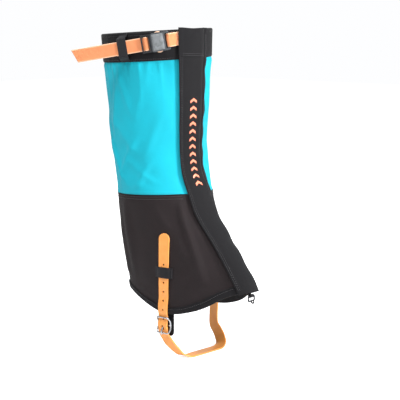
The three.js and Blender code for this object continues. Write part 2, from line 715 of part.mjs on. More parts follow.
/** The keeper bridges the strap and is sewn to the panel on both sides of it. */
function stirrupKeeper() {
  const half = STIRRUP_WIDTH / 2;
  const steps = [-half - 6, -half - 2.6, -half - 0.7, 0, half + 0.7, half + 2.6, half + 6];
  const overStrap = ON_PANEL + STIRRUP_THICK + GAP;
  return slab(steps.length - 1, 2, (u, v, w) => {
    const y = along(steps, u);
    const z = THREE.MathUtils.lerp(...STIRRUP_KEEPER_Z, v);
    const base = Math.abs(y) > half + 2 ? ON_PANEL : overStrap;
    return onBody(turnAt(STIRRUP_Y + y, z), z, base + w * FABRIC);
  });
}

/** The tab behind the buckle hangs from inside the bottom edge and has rounded lower corners. */
function stirrupTab() {
  const [half, radius, bottom] = [14, 7, 28];
  const corner = spread(10, 90, 4)
    .map((degrees) => bottom + radius * (1 - Math.cos(THREE.MathUtils.degToRad(degrees))));
  const heights = [...corner, ...spread(42, 86, 4)];
  return slab(2, heights.length - 1, (u, v, w) => {
    const z = heights[Math.round(v * (heights.length - 1))];
    const below = Math.max(0, bottom + radius - z);
    const reach = half - radius + Math.sqrt(radius ** 2 - below ** 2);
    return onBody(turnAt(STIRRUP_Y + (2 * u - 1) * reach, z), z, TAB_OUT + w * FABRIC);
  });
}

/** Webbing looped round a bar at the origin, open to the wearer's side, with its end led up to a height. */
function webbingLoop([inner, outer], half, top) {
  const outline = new THREE.Shape();
  outline.moveTo(-inner, top);
  outline.lineTo(-outer, top);
  outline.lineTo(-outer, 0);
  outline.absarc(0, 0, outer, Math.PI, 2.5 * Math.PI, false);
  outline.lineTo(0, inner);
  outline.absarc(0, 0, inner, 2.5 * Math.PI, Math.PI, true);
  outline.closePath();
  // the outline's axes are the bar's outward and up directions, and it is raised along its width
  const turned = new THREE.Matrix4().makeBasis(
    new THREE.Vector3(0, 0, 1), new THREE.Vector3(0, 1, 0), new THREE.Vector3(-1, 0, 0),
  );
  return plate(outline, -half, half, 6).applyMatrix4(turned);
}

/** Webbing sewn to the tab and looped round the centre bar, with a slot for the prong. */
function barLoop() {
  const outer = LOOP_RADIUS[1];
  const loop = webbingLoop(LOOP_RADIUS, STIRRUP_WIDTH / 2, 13);
  const slot = block([-PRONG_SLOT, -outer - 1, -outer - 1], [PRONG_SLOT, outer + 0.6, outer + 1]);
  return cutSolid(loop, slot);
}

/** A round wire bent into a rounded rectangle; rise(y) lifts it out of its plane. */
function wireRing(halfX, halfY, radius, rise) {
  const squareness = 0.3;
  const bulge = (value, half) => half * Math.sign(value) * Math.abs(value) ** squareness;
  const path = (angle) => new THREE.Vector2(bulge(Math.cos(angle), halfX), bulge(Math.sin(angle), halfY));
  const ring = new THREE.TorusGeometry(2, 1, 6, 36);
  return warped(ring, (x, y, z) => {
    const angle = Math.atan2(y, x) + 0.02;
    const along2d = path(angle + 0.03).sub(path(angle - 0.03)).normalize();
    const side = new THREE.Vector2(along2d.y, -along2d.x).multiplyScalar((Math.hypot(x, y) - 2) * radius);
    const point = path(angle).add(side);
    return new THREE.Vector3(point.x, point.y, rise(point.y) + z * radius);
  });
}

function stirrupBuckle() {
  const ring = wireRing(BAR_REACH, BAR_REACH, WIRE, (y) => OUTER_BAR_RISE * (y / BAR_REACH) ** 2);
  const centreBar = new THREE.CylinderGeometry(WIRE, WIRE, 2 * BAR_REACH, 12).rotateZ(Math.PI / 2);
  return joinedSolids(ring, centreBar);
}

const PRONG_WIDTH = 2.4;
const PRONG_THICK = 1.1;
const PRONG_SLOT = PRONG_WIDTH / 2 + 0.4;

/** A flat prong with an eye round the centre bar; it rises through the strap and rests on the lower bar. */
function stirrupProng() {
  const eye = plate(circle(LOOP_RADIUS[0] + PRONG_THICK), -PRONG_WIDTH / 2, PRONG_WIDTH / 2, 8);
  const bore = plate(circle(LOOP_RADIUS[0]), -PRONG_WIDTH, PRONG_WIDTH, 8);
  const restY = OUTER_BAR_RISE + WIRE + GAP + PRONG_THICK / 2;
  const line = new THREE.SplineCurve([
    [0.9, 1.9], [2.4, 2.3], [3.9, 4.6], [6.4, 6.1], [9.5, restY], [BAR_REACH + 2.2, restY],
  ].map(([x, y]) => new THREE.Vector2(x, y)));
  const pin = strip(line.getPoints(14), PRONG_WIDTH / 2, PRONG_THICK);
  // the eye's outline lies in the plane across the bar: first axis down the strap, second outwards
  const turned = new THREE.Matrix4().makeBasis(
    new THREE.Vector3(0, -1, 0), new THREE.Vector3(0, 0, 1), new THREE.Vector3(-1, 0, 0),
  );
  const pinTurned = new THREE.Matrix4().makeBasis(
    new THREE.Vector3(0, -1, 0), new THREE.Vector3(1, 0, 0), new THREE.Vector3(0, 0, 1),
  );
  const whole = joinedSolids(eye.applyMatrix4(turned), pin.applyMatrix4(pinTurned));
  return cutSolid(whole, bore.applyMatrix4(turned));
}

// ---------------------------------------------------------------- lace hook

const LACE_TURN = 6;
const LACE_BAR_RADIUS = 1;

/** The hook's frame: origin in its bar, x along the bar, y up, z to the front. */
function laceFrame() {
  const z = hemZ(LACE_TURN) - 3.2;
  const at = onBody(LACE_TURN, z, TAB_OUT);
  return new THREE.Matrix4().makeBasis(
    new THREE.Vector3(1, 0, 0), new THREE.Vector3(0, 0, 1), new THREE.Vector3(0, -1, 0),
  ).setPosition(at);
}

const LACE_FRAME = laceFrame();
const LACE_RING = { halfX: 6, halfY: 3.4 };

/** A wire ring whose upper bar runs through the tab, with a hook bent up in front of its lower bar. */
function laceHook() {
  const { halfX, halfY } = LACE_RING;
  const ring = wireRing(halfX, halfY, LACE_BAR_RADIUS, () => 0).translate(0, -halfY, 0);
  const lowerBar = -2 * halfY;
  const curve = new THREE.CatmullRomCurve3([
    [0.4, -0.4], [-1.8, 0.4], [-2.8, 2.4], [-1.4, 4.2], [1, 4.6],
  ].map(([y, z]) => new THREE.Vector3(0, lowerBar + y, z)));
  return joinedSolids(ring, bar(curve, LACE_BAR_RADIUS, 10));
}

/** Webbing sewn inside the bottom edge and looped round the hook's bar. */
function laceTab() {
  const radii = [LACE_BAR_RADIUS + 0.35, LACE_BAR_RADIUS + 1.25];
  const upward = bodyPoint(LACE_TURN, hemZ(LACE_TURN) + 10).sub(bodyPoint(LACE_TURN, hemZ(LACE_TURN) - 3));
  const lean = Math.atan2(-upward.y, upward.z); // the panel leans back as it rises
  return webbingLoop(radii, 3.6, 16).rotateX(lean);
}

// ---------------------------------------------------------------- assembly

addPart('upper_panel', upperPanel(), 'turquoise');
addPart('lower_panel', lowerPanel(), 'canvas');
addPart('top_hem', topHem(), 'black');
addPart('bottom_binding', bottomBinding(), 'black');
addPart('flap_margin', flapMargin(), 'black');
addPart('flap_upper', flapUpper(), 'black');
addPart('flap_lower', flapLower(), 'black');
addPart('flap_top_band', flapBand(), 'black');
addPart('fastener_loops', loopStrip(), 'fastener');
addPart('fastener_hooks_upper', hookStrip(() => ANKLE_Z + 4, fastenerTop, 9), 'fastener');
addPart('fastener_hooks_lower', hookStrip((turn) => hemZ(turn) + 13, () => ANKLE_Z - 4, 11), 'fastener');
addPart('top_strap_keeper', strapKeeper(), 'black');
addPart('top_strap_fixed_run', strapFixedRun(), 'salmon');
addPart('top_strap_run', strapRun(), 'salmon', STRAP_FRAME);
addPart('top_strap_tail', strapTail(), 'salmon', STRAP_FRAME);
addPart('buckle_male_frame', maleFrame(), 'blackPlastic', STRAP_FRAME);
addPart('release_arm_upper', releaseArm(1), 'salmon', STRAP_FRAME);
addPart('release_arm_lower', releaseArm(-1), 'salmon', STRAP_FRAME);
addPart('buckle_female', femaleBody(), 'greyPlastic', STRAP_FRAME);
addPart('buckle_webbing', buckleWebbing(), 'salmon');
addPart('stirrup_strap', stirrupStrap(), 'orange');
addPart('stirrup_strap_tip', stirrupTip(), 'orange');
addPart('stirrup_keeper', stirrupKeeper(), 'black');
addPart('stirrup_tab', stirrupTab(), 'black');
addPart('stirrup_bar_loop', barLoop(), 'black', BUCKLE_FRAME);
addPart('stirrup_buckle', stirrupBuckle(), 'steel', BUCKLE_FRAME);
addPart('stirrup_prong', stirrupProng(), 'steel', BUCKLE_FRAME);
addPart('lace_hook', laceHook(), 'blackMetal', LACE_FRAME);
addPart('lace_hook_tab', laceTab(), 'black', LACE_FRAME);

export default gaiter;
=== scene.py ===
# Looks of a calf gaiter for the right leg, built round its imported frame.
# Metres. +Z is up, -Y is the toe side, -X is the outer side of the leg.
# A "turn" is an angle in degrees round the leg, from the front towards the outer side.
import math

import bmesh
import bpy
import numpy as np
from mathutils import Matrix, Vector


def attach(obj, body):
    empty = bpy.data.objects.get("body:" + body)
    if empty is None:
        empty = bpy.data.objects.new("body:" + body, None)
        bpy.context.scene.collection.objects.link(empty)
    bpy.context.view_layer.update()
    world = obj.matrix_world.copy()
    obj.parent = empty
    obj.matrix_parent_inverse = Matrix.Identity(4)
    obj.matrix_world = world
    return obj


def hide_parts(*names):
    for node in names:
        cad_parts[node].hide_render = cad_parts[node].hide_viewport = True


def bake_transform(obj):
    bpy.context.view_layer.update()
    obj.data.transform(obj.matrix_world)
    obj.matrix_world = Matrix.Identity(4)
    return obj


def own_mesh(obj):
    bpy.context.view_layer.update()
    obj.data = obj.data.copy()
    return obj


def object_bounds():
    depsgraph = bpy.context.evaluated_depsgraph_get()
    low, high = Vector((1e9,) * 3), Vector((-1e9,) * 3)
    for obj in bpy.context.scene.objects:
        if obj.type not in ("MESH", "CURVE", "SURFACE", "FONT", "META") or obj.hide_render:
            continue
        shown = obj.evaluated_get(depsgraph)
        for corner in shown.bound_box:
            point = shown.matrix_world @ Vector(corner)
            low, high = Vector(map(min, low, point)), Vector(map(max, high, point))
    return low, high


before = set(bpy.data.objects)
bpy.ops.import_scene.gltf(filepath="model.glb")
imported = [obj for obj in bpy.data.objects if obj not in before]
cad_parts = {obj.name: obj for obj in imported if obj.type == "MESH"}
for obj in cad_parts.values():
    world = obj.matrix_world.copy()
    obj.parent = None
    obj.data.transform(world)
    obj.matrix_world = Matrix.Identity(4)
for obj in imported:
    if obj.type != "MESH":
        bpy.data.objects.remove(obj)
CAD_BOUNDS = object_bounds()
MM = 0.001

# ---------------------------------------------------------------- driving dimensions

# Horizontal sections of the body: height, front, back, half width, and how much narrower it is in front.
SECTIONS = [
    (0.070, -0.198, 0.035, 0.046, 0.36),
    (0.117, -0.165, 0.042, 0.048, 0.32),
    (0.163, -0.125, 0.049, 0.052, 0.22),
    (0.193, -0.101, 0.051, 0.056, 0.14),
    (0.219, -0.090, 0.051, 0.060, 0.10),
    (0.246, -0.0782, 0.0545, 0.0607, 0.07),
    (0.270, -0.075, 0.0575, 0.0617, 0.05),
    (0.357, -0.0775, 0.068, 0.067, 0.02),
    (0.440, -0.078, 0.076, 0.0718, 0.0),
]
# Height of the bottom edge by turn, and turn of the flap's sewn edge by height.
HEM = [
    (0, 0.099), (27, 0.097), (48, 0.088), (68, 0.073), (88, 0.061),
    (99, 0.059), (110, 0.064), (138, 0.079), (180, 0.079),
]
SEWN_EDGE = [
    (0.090, -19), (0.150, -24), (0.190, -22), (0.219, -16), (0.262, -9), (0.350, -8.5), (0.445, -8.5),
]
FREE_EDGE_TURN = 26
BODY_EDGES = (3, -0.5)  # turns of the body's two front edges from the sewn edge
FLAP_START = 1  # turn from the sewn edge at which the flap begins
FASTENER_INSET = (11, 5)  # turns of the fastener from the sewn edge and from the free one
RIM_Z = 0.440
RIM_RISE = 0.0042
RIM_RISE_TURN = -42
SEAM_Z = 0.2195
SEAM_RISE = 0.0035
TOP_HEM_HEIGHT = 0.0385
BINDING_HEIGHT = 0.009
FLAP_BAND_HEIGHT = 0.033

FABRIC = 0.001
GAP = 0.0004
BINDING = 0.0012
WEBBING = 0.0014
FASTENER = 0.0008

# Distances of the layers outside the body's inner surface.
HEM_OUT = FABRIC + GAP
OVER_HEM = HEM_OUT + BINDING + GAP
LOOP_OUT = FABRIC + GAP
HOOK_OUT = LOOP_OUT + FASTENER + GAP
FLAP_OUT = HOOK_OUT + FASTENER + GAP

TOP_STRAP_TURN = 56
TOP_STRAP_Z = 0.424
TOP_STRAP_SLOPE = 9.7
HEM_RADIUS = 0.077  # of the hem's bend under the strap
HALF_STRAP = 0.009
KEEPER_X = (-0.041, -0.0285)
TAIL_X = (-0.105, -0.0425)
MALE_X = (-0.008, 0.0055)
FEMALE_X = (0.006, 0.030)
UPPER_RUN = 0.0025

STIRRUP_WIDTH = 0.016
STIRRUP_THICK = 0.0018
STIRRUP_Y = -0.062
STIRRUP_KEEPER_Z = (0.1085, 0.1235)
STIRRUP_TIP_Z = 0.170
STIRRUP_TOP_INSIDE = 0.086
STIRRUP_TIP_BEND_Z = (0.1235, 0.133)
HOLE_PITCH = 0.0125
HOLE_RADIUS = 0.002
PRONG_HOLE_Z = 0.0394
PRONG_HOLE_DROP = 0.0034
PRONG_HOLE_STRETCH = 0.0032
STIRRUP_BUCKLE_Z = 0.0435
WIRE = 0.0011
BAR_REACH = 0.0109
BAR_OUT = 0.0007
OUTER_BAR_RISE = 0.0047
LOOP_RADIUS = (0.0014, 0.0023)
TAB_OUT = -0.003

rng = np.random.default_rng(5)

# ---------------------------------------------------------------- numbers


def smooth_curve(stations):
    """A smooth curve through stations (x, values...), level beyond its ends."""
    table = np.array(stations, float)
    xs = table[:, 0]
    values = table[:, 1:]
    last = len(xs) - 1

    def read(x):
        x = np.clip(np.asarray(x, float), xs[0], xs[-1])
        after = np.clip(np.searchsorted(xs, x, side="right"), 1, last)
        before = after - 1
        earlier = np.where(before > 0, before - 1, after)
        later = np.where(after < last, after + 1, before)
        half_step = (xs[after] - xs[before]) / 2
        start = half_step / (xs[before] - xs[earlier])
        end = half_step / (xs[later] - xs[after])
        p = (x - xs[before]) / (2 * half_step)
        weights = (
            start * (-(p**3) + 2 * p**2 - p),
            (1 + start) * p**3 + (-1.5 - 2 * start) * p**2 + (start - 0.5) * p + 1,
            (-1 - end) * p**3 + (1.5 + end) * p**2 + 0.5 * p,
            end * (p**3 - p**2),
        )
        return sum(w[..., None] * values[i] for w, i in zip(weights, (earlier, before, after, later)))

    return read


def mix(a, b, t):
    return a + (b - a) * t


def smoothstep(low, high, x):
    t = np.clip((np.asarray(x, float) - low) / (high - low), 0, 1)
    return t * t * (3 - 2 * t)


def unit(vectors):
    vectors = np.asarray(vectors, float)
    return vectors / np.linalg.norm(vectors, axis=-1, keepdims=True)


def shares(count, rim):
    """Fractions from 0 to 1, with extra ones at both ends to round a rim that is a share of the length."""
    near = rim * np.array([0, 0.12, 0.4] if rim else [])
    return np.concatenate([near, np.linspace(rim, 1 - rim, count), 1 - near[::-1]])


def rounded(fraction, rim):
    """Share of the full thickness at a place across a sheet whose edges are rounded."""
    edge = np.minimum(fraction, 1 - fraction) / rim
    return np.sqrt(np.clip(1 - (1 - np.clip(edge, 0, 1)) ** 2, 0.03, 1))


def travelled(line):
    """Distance along a line at each of its points."""
    return np.concatenate([[0], np.cumsum(np.linalg.norm(np.diff(line, axis=0), axis=1))])


def length_of(line):
    return np.linalg.norm(np.diff(line, axis=0), axis=1).sum()


def resampled(line, distances, values=None):
    """Points at distances along a line, or the values there that its points carry."""
    columns = (line if values is None else values).T
    return np.stack([np.interp(distances, travelled(line), column) for column in columns], axis=-1)


def smooth_line(points, count):
    """A smooth line through a few points."""
    last = len(points) - 1
    return smooth_curve(np.column_stack([range(last + 1), points]))(np.linspace(0, last, count))


def normals_of(line):
    """Directions across a line drawn in a plane."""
    along = unit(np.gradient(line, axis=0))
    return np.stack([-along[:, 1], along[:, 0]], axis=-1)


def rounded_box(angle, half_x, half_y, power):
    """A rectangle's outline by angle: round at power 1, squarer below."""
    cos, sin = np.cos(angle), np.sin(angle)
    return half_x * np.sign(cos) * np.abs(cos) ** power, half_y * np.sign(sin) * np.abs(sin) ** power


def around(turn):
    """The same turn between -180 and 180."""
    return (np.asarray(turn, float) + 180) % 360 - 180


# ---------------------------------------------------------------- the body's surface

section_at = smooth_curve(SECTIONS)
hem_curve = smooth_curve(HEM)
sewn_curve = smooth_curve(SEWN_EDGE)


def hem_z(turn):
    return hem_curve(np.abs(around(turn)))[..., 0]


def sewn_turn(z):
    return sewn_curve(z)[..., 0]


def rim_z(turn):
    return RIM_Z + RIM_RISE * np.cos(np.radians(turn - RIM_RISE_TURN))


def seam_z(turn):
    return SEAM_Z + SEAM_RISE * np.cos(np.radians(turn))


def body_point(turn, z):
    front, back, half, narrow = np.moveaxis(section_at(z), -1, 0)
    angle = np.radians(turn)
    x = -half * np.sin(angle) * (1 - narrow * np.cos(angle))
    y = (front + back) / 2 - (back - front) / 2 * np.cos(angle)
    return np.stack(np.broadcast_arrays(x, y, z), axis=-1)


def body_normal(turn, z):
    side = body_point(turn + 0.05, z) - body_point(turn - 0.05, z)
    up = body_point(turn, z + 0.05 * MM) - body_point(turn, z - 0.05 * MM)
    return unit(np.cross(up, side))


def on_body(turn, z, offset):
    """Points at a distance outside the body's inner surface."""
    turn, z, offset = np.broadcast_arrays(np.asarray(turn, float), z, offset)
    return body_point(turn, z) + body_normal(turn, z) * offset[..., None]


def body_turn(u, z):
    """The body is open in front, under the flap's sewn edge."""
    return mix(sewn_turn(z) + BODY_EDGES[0], 360 + sewn_turn(z) + BODY_EDGES[1], u)


def turn_at(y, z, side=1):
    """Turn at which the body has the given y, on the outer side or (side -1) on the inner side."""
    front, back, _, _ = np.moveaxis(section_at(z), -1, 0)
    return side * np.degrees(np.arccos(((front + back) / 2 - y) / ((back - front) / 2)))


def body_row(turn, z, offset):
    """A row for stitches on a layer of the body, with its normals."""
    turn, z = np.broadcast_arrays(np.asarray(turn, float), z)
    return on_body(turn, z, offset), body_normal(turn, z)


def placed_in(at, x_axis, y_axis, out):
    """A function that places points given in a frame of its own."""

    def place(x, y, z):
        x, y, z = (np.asarray(value, float)[..., None] for value in np.broadcast_arrays(x, y, z))
        return at + x * x_axis + y * y_axis + z * out

    return place


# ---------------------------------------------------------------- meshes


def added(name, data):
    """A new object in the scene."""
    obj = bpy.data.objects.new(name, data)
    bpy.context.scene.collection.objects.link(obj)
    return obj


def new_mesh(name, points, faces, uv=None):
    """A smooth-shaded mesh object; uv gives each point its place on the cloth in metres."""
    mesh = bpy.data.meshes.new(name)
    mesh.from_pydata(points.reshape(-1, 3).tolist(), [], faces)
    mesh.polygons.foreach_set("use_smooth", [True] * len(mesh.polygons))
    if uv is not None:
        corner = np.zeros(len(mesh.loops), np.int32)
        mesh.loops.foreach_get("vertex_index", corner)
        layer = mesh.uv_layers.new(name="cloth")
        layer.data.foreach_set("uv", uv.reshape(-1, 2)[corner].astype(np.float32).ravel())
    outward = bmesh.new()
    outward.from_mesh(mesh)
    bmesh.ops.recalc_face_normals(outward, faces=outward.faces)
    outward.to_mesh(mesh)
    outward.free()
    return added(name, mesh)


def loft(name, sections, uv=None, closed=False):
    """A skin over an array of rings (sections, points, 3), capped at its ends unless it is closed."""
    count, ring = sections.shape[:2]
    faces = []
    for i in range(count if closed else count - 1):
        here, there = i * ring, (i + 1) % count * ring
        for k in range(ring):
            after = (k + 1) % ring
            faces.append((here + k, here + after, there + after, there + k))
    if not closed:
        for first in (0, (count - 1) * ring):
            for k in range(ring // 2 - 1):
                faces.append((first + k, first + k + 1, first + ring - 2 - k, first + ring - 1 - k))
    return new_mesh(name, sections, faces, uv)


def sheet(name, size, place, columns, rows, rim=0.5 * MM, square_ends=False):
    """A bent sheet with rounded edges. place(u, v, w) gives its points, with w from 0 to 1 through it."""
    width, height = size
    us, vs = shares(columns, rim / width), shares(rows, 0 if square_ends else rim / height)
    u, v = np.concatenate([us, us[::-1]])[None, :], vs[:, None]
    share = rounded(u, rim / width)
    if not square_ends:
        share = np.minimum(share, rounded(v, rim / height))
    w = 0.5 + np.repeat([0.5, -0.5], len(us)) * share
    u, v, w = np.broadcast_arrays(u, v, w)
    return loft(name, place(u, v, w), np.stack([u * width, v * height], axis=-1))


def fitted_sheet(name, size, counts, edges, spread, out, first=None, rim=0.5 * MM):
    """A sheet on the body between two edges, which give their height at a turn.

    spread(u, z) is the turn across it, out(u, turn, z, w) the distance outside the body's inner surface,
    and first(u, v) the turn from which the heights are read.
    """
    bottom, top = edges

    def place(u, v, w):
        turn = first(u, v) if first else spread(u, mix(bottom(0), top(0), v))
        z = mix(bottom(turn), top(turn), v)
        turn = spread(u, z)
        return on_body(turn, z, out(u, turn, z, w))

    return sheet(name, size, place, *counts, rim)


def ring_axes(line, closed=False):
    """Two directions across a line that turn as little as they can."""
    line = np.asarray(line, float)
    if closed:
        along = unit(np.roll(line, -1, axis=0) - np.roll(line, 1, axis=0))
    else:
        along = unit(np.gradient(line, axis=0))
    sides = [unit(np.cross(along[0], (0.31, 0.17, 0.93)))]
    for direction in along[1:]:
        sides.append(unit(sides[-1] - direction * np.dot(sides[-1], direction)))
    return np.array(sides), np.cross(along, sides)


def tube(name, line, radius, closed=False, points=16):
    """A round bar along a line; the radius may change along it."""
    line = np.asarray(line, float)
    side, up = ring_axes(line, closed)
    radius = np.broadcast_to(radius, len(line))[:, None, None]
    angle = np.linspace(0, 2 * math.pi, points, endpoint=False)[None, :, None]
    sections = line[:, None] + radius * (np.cos(angle) * side[:, None] + np.sin(angle) * up[:, None])
    return loft(name, sections, closed=closed)


def joined(name, pieces):
    """One object from several, for details that move together."""
    with bpy.context.temp_override(
        active_object=pieces[0], selected_editable_objects=pieces, selected_objects=pieces
    ):
        bpy.ops.object.join()
    pieces[0].name = name
    return pieces[0]


def stitches(name, rows, pitch=0.0031, length=0.0023, radius=0.00026):
    """Rows of thread stitches, short beads half sunk in the cloth. Each row is (points, normals)."""
    rings, sides = 5, 6
    fraction = np.linspace(0, 1, rings)
    swell = radius * np.sqrt(1 - 0.9 * (2 * fraction - 1) ** 2)
    lift = 0.8 * radius * np.sin(math.pi * fraction) - 0.3 * radius
    angle = np.linspace(0, 2 * math.pi, sides, endpoint=False)[:, None]
    points, faces = [], []
    for line, normals in rows:
        total = length_of(line)
        count = max(1, int(total / pitch))
        starts = (np.arange(count) + 0.5) * total / count - length / 2
        at = starts[:, None] + fraction * length
        centre, normal = resampled(line, at), unit(resampled(line, at, normals))
        side = unit(np.cross(unit(centre[:, -1:] - centre[:, :1]), normal))
        spoke = np.cos(angle) * side[:, :, None] + np.sin(angle) * normal[:, :, None]
        bead = (centre + normal * lift[:, None])[:, :, None] + spoke * swell[:, None, None]
        first = sum(len(p) for p in points)
        points.append(bead.reshape(-1, 3))
        for base in range(first, first + count * rings * sides, rings * sides):
            last_ring = base + (rings - 1) * sides
            for ring in range(base, last_ring, sides):
                for k in range(sides):
                    after = ring + (k + 1) % sides
                    faces.append((ring + k, after, after + sides, ring + k + sides))
            faces += [tuple(range(end, end + sides)) for end in (base, last_ring)]
    return new_mesh(name, np.concatenate(points), faces)


# ---------------------------------------------------------------- materials


def colour(code):
    """Linear colour from a hexadecimal sRGB one."""
    parts = [int(code[i : i + 2], 16) / 255 for i in (0, 2, 4)]
    return [p / 12.92 if p <= 0.04045 else ((p + 0.055) / 1.055) ** 2.4 for p in parts] + [1]


class Finish:
    """A material under construction: its shader, its two colours, and short ways to add nodes."""

    def __init__(self, name, base, shade, **sockets):
        self.material = bpy.data.materials.new(name)
        self.material.use_nodes = True
        self.tree = self.material.node_tree
        self.shader = self.tree.nodes["Principled BSDF"]
        self.base, self.shade = colour(base), colour(shade)
        for socket, value in sockets.items():
            self.shader.inputs[socket.replace("_", " ")].default_value = value

    def node(self, kind, inputs, output=0, **settings):
        """Adds a node and gives one of its outputs."""
        node = self.tree.nodes.new("ShaderNode" + kind)
        for key, value in settings.items():
            setattr(node, key, value)
        for key, value in inputs.items():
            self.feed(node.inputs[key], value)
        return node.outputs[output]

    def feed(self, socket, value):
        if isinstance(value, bpy.types.NodeSocket):
            self.tree.links.new(value, socket)
        else:
            socket.default_value = value

    def cloth(self):
        """Place on the cloth, in metres."""
        return self.node("UVMap", {}, uv_map="cloth")

    def place(self):
        """Place in the frame, in metres."""
        return self.node("TexCoord", {}, "Object")

    def noise(self, vector, size, detail=3.0, roughness=0.55):
        """Soft noise whose blots are about the given size in metres."""
        inputs = {"Vector": vector, "Scale": 1 / size, "Detail": detail, "Roughness": roughness}
        return self.node("TexNoise", inputs, "Fac")

    def ribs(self, vector, pitch, direction, distortion=0.0):
        """Ribs at a pitch in metres along one axis."""
        inputs = {"Vector": vector, "Scale": math.pi / 10 / pitch, "Distortion": distortion, "Detail": 1.0}
        return self.node("TexWave", inputs, "Fac", bands_direction=direction)

    def math(self, operation, a, b):
        return self.node("Math", {0: a, 1: b}, operation=operation)

    def weave(self, vector, pitch):
        """Warp over weft."""
        return self.math("MULTIPLY", self.ribs(vector, pitch, "X"), self.ribs(vector, pitch, "Y"))

    def stretch(self, value, low, high):
        """A value from 0 to 1 stretched to another range."""
        return self.node("MapRange", {"Value": value, "To Min": low, "To Max": high}, "Result")

    def ramp(self, value, low, high):
        """0 below one value and 1 above another."""
        return self.node("MapRange", {"Value": value, "From Min": low, "From Max": high}, "Result")

    def blend(self, factor, a, b):
        return self.node("Mix", {0: factor, 6: a, 7: b}, 2, data_type="RGBA")

    def dyed(self, factor):
        """The shade where the factor is 0, the base colour where it is 1."""
        return self.blend(factor, self.shade, self.base)

    def bump(self, height, depth, **under):
        """Bumps of a real depth in metres, over the Normal of other bumps if there are any."""
        return self.node("Bump", {"Height": height, "Distance": depth, "Strength": 1.0, **under})

    def done(self, base, normal=None, roughness=None):
        for socket, value in (("Base Color", base), ("Normal", normal), ("Roughness", roughness)):
            if value is not None:
                self.feed(self.shader.inputs[socket], value)
        return self.material


def woven(name, base, shade, pitch, depth, rough, sheen=0.04, cloudiness=0.06, crease=0.0):
    """Plain woven cloth: warp over weft at a pitch, with uneven dye and fine creases."""
    finish = Finish(name, base, shade, Sheen_Weight=sheen, Sheen_Roughness=0.5, Specular_IOR_Level=0.25)
    cloth = finish.cloth()
    weave = finish.weave(cloth, pitch)
    threads = finish.noise(cloth, 0.6 * MM, 2.0)
    clouds = finish.noise(cloth, cloudiness, 4.0)
    tone = finish.math("MULTIPLY", finish.stretch(clouds, 0.55, 1.35), finish.stretch(weave, 0.72, 1.1))
    tone = finish.math("MULTIPLY", tone, finish.stretch(threads, 0.85, 1.15))
    normal = finish.bump(weave, depth)
    if crease:
        normal = finish.bump(finish.noise(cloth, 0.022, 5.0, 0.6), crease, Normal=normal)
    return finish.done(finish.dyed(tone), normal, finish.stretch(clouds, rough - 0.08, rough + 0.08))


def webbing(name, base, shade, edge, width, rough=0.7):
    """Flat webbing: lengthwise ribs crossed by the weft, with paler edges."""
    finish = Finish(name, base, shade, Sheen_Weight=0.05, Sheen_Roughness=0.5, Specular_IOR_Level=0.3)
    cloth = finish.cloth()
    weft = finish.ribs(cloth, 0.9 * MM, "Y", 0.6)
    weave = finish.math("ADD", finish.ribs(cloth, 1.5 * MM, "X"), finish.math("MULTIPLY", weft, 0.5))
    clouds = finish.noise(cloth, 0.012, 4.0)
    off_centre = finish.math("SUBTRACT", finish.node("SeparateXYZ", {0: cloth}, "X"), width / 2)
    rim = finish.ramp(finish.math("ABSOLUTE", off_centre, 0.0), 0.4 * width, 0.5 * width)
    tone = finish.math("MULTIPLY", finish.stretch(weave, 0.55, 0.95), finish.stretch(clouds, 0.75, 1.25))
    base_colour = finish.blend(rim, finish.dyed(tone), colour(edge))
    return finish.done(base_colour, finish.bump(weave, 0.25 * MM), rough)


def moulded(name, base, shade, rough, **sockets):
    """Moulded plastic: fine grain, faint clouds, and a painted highlight that makes its convex edges paler.
    """
    finish = Finish(name, base, shade, **sockets)
    place = finish.place()
    clouds = finish.noise(place, 0.008, 4.0)
    grain = finish.bump(finish.noise(place, 0.5 * MM, 2.0), 0.05 * MM)
    # Painted highlight: convex edges, found by pointiness, are made paler as if they caught the light.
    painted_edge_highlight = finish.ramp(finish.node("NewGeometry", {}, "Pointiness"), 0.52, 0.6)
    body = finish.dyed(finish.stretch(clouds, 0.1, 0.9))
    highlit_body = finish.node("HueSaturation", {"Value": 1.7, "Color": body}, "Color")
    roughness = finish.stretch(clouds, rough - 0.07, rough + 0.1)
    return finish.done(finish.blend(painted_edge_highlight, body, highlit_body), grain, roughness)


def metal(name, base, shade, rough):
    """Plated wire with fine drawing marks and small scuffs."""
    finish = Finish(name, base, shade, Metallic=1.0)
    place = finish.place()
    clouds = finish.noise(place, 0.005, 4.0)
    scuffs = finish.noise(place, 0.4 * MM, 3.0, 0.7)
    roughness = finish.stretch(scuffs, rough - 0.08, rough + 0.15)
    return finish.done(finish.dyed(clouds), finish.bump(scuffs, 0.04 * MM), roughness)


def fuzzy(name, base, shade, depth):
    """Hook-and-loop strip: a dense mat of loops or hooks."""
    finish = Finish(name, base, shade, Sheen_Weight=0.3, Roughness=0.95)
    cloth = finish.cloth()
    mat = finish.node("TexVoronoi", {"Vector": cloth, "Scale": 1 / (1.3 * MM)}, "Distance")
    height = finish.math("ADD", mat, finish.noise(cloth, 0.5 * MM, 4.0, 0.7))
    return finish.done(finish.dyed(height), finish.bump(height, depth))


def printed(name, base, shade):
    """Rubbery print on cloth, thin enough for the weave to show through."""
    finish = Finish(name, base, shade, Coat_Weight=0.15)
    cloth = finish.cloth()
    clouds = finish.noise(cloth, 0.004, 3.0)
    base_colour = finish.dyed(finish.stretch(clouds, 0.2, 1.0))
    weave = finish.bump(finish.weave(cloth, 0.9 * MM), 0.1 * MM)
    return finish.done(base_colour, weave, finish.stretch(clouds, 0.45, 0.65))


def thread(name, base, shade):
    """Twisted sewing thread."""
    finish = Finish(name, base, shade, Sheen_Weight=0.2)
    twist = finish.noise(finish.place(), 0.4 * MM, 2.0)
    return finish.done(finish.dyed(twist), finish.bump(twist, 0.1 * MM), finish.stretch(twist, 0.55, 0.8))


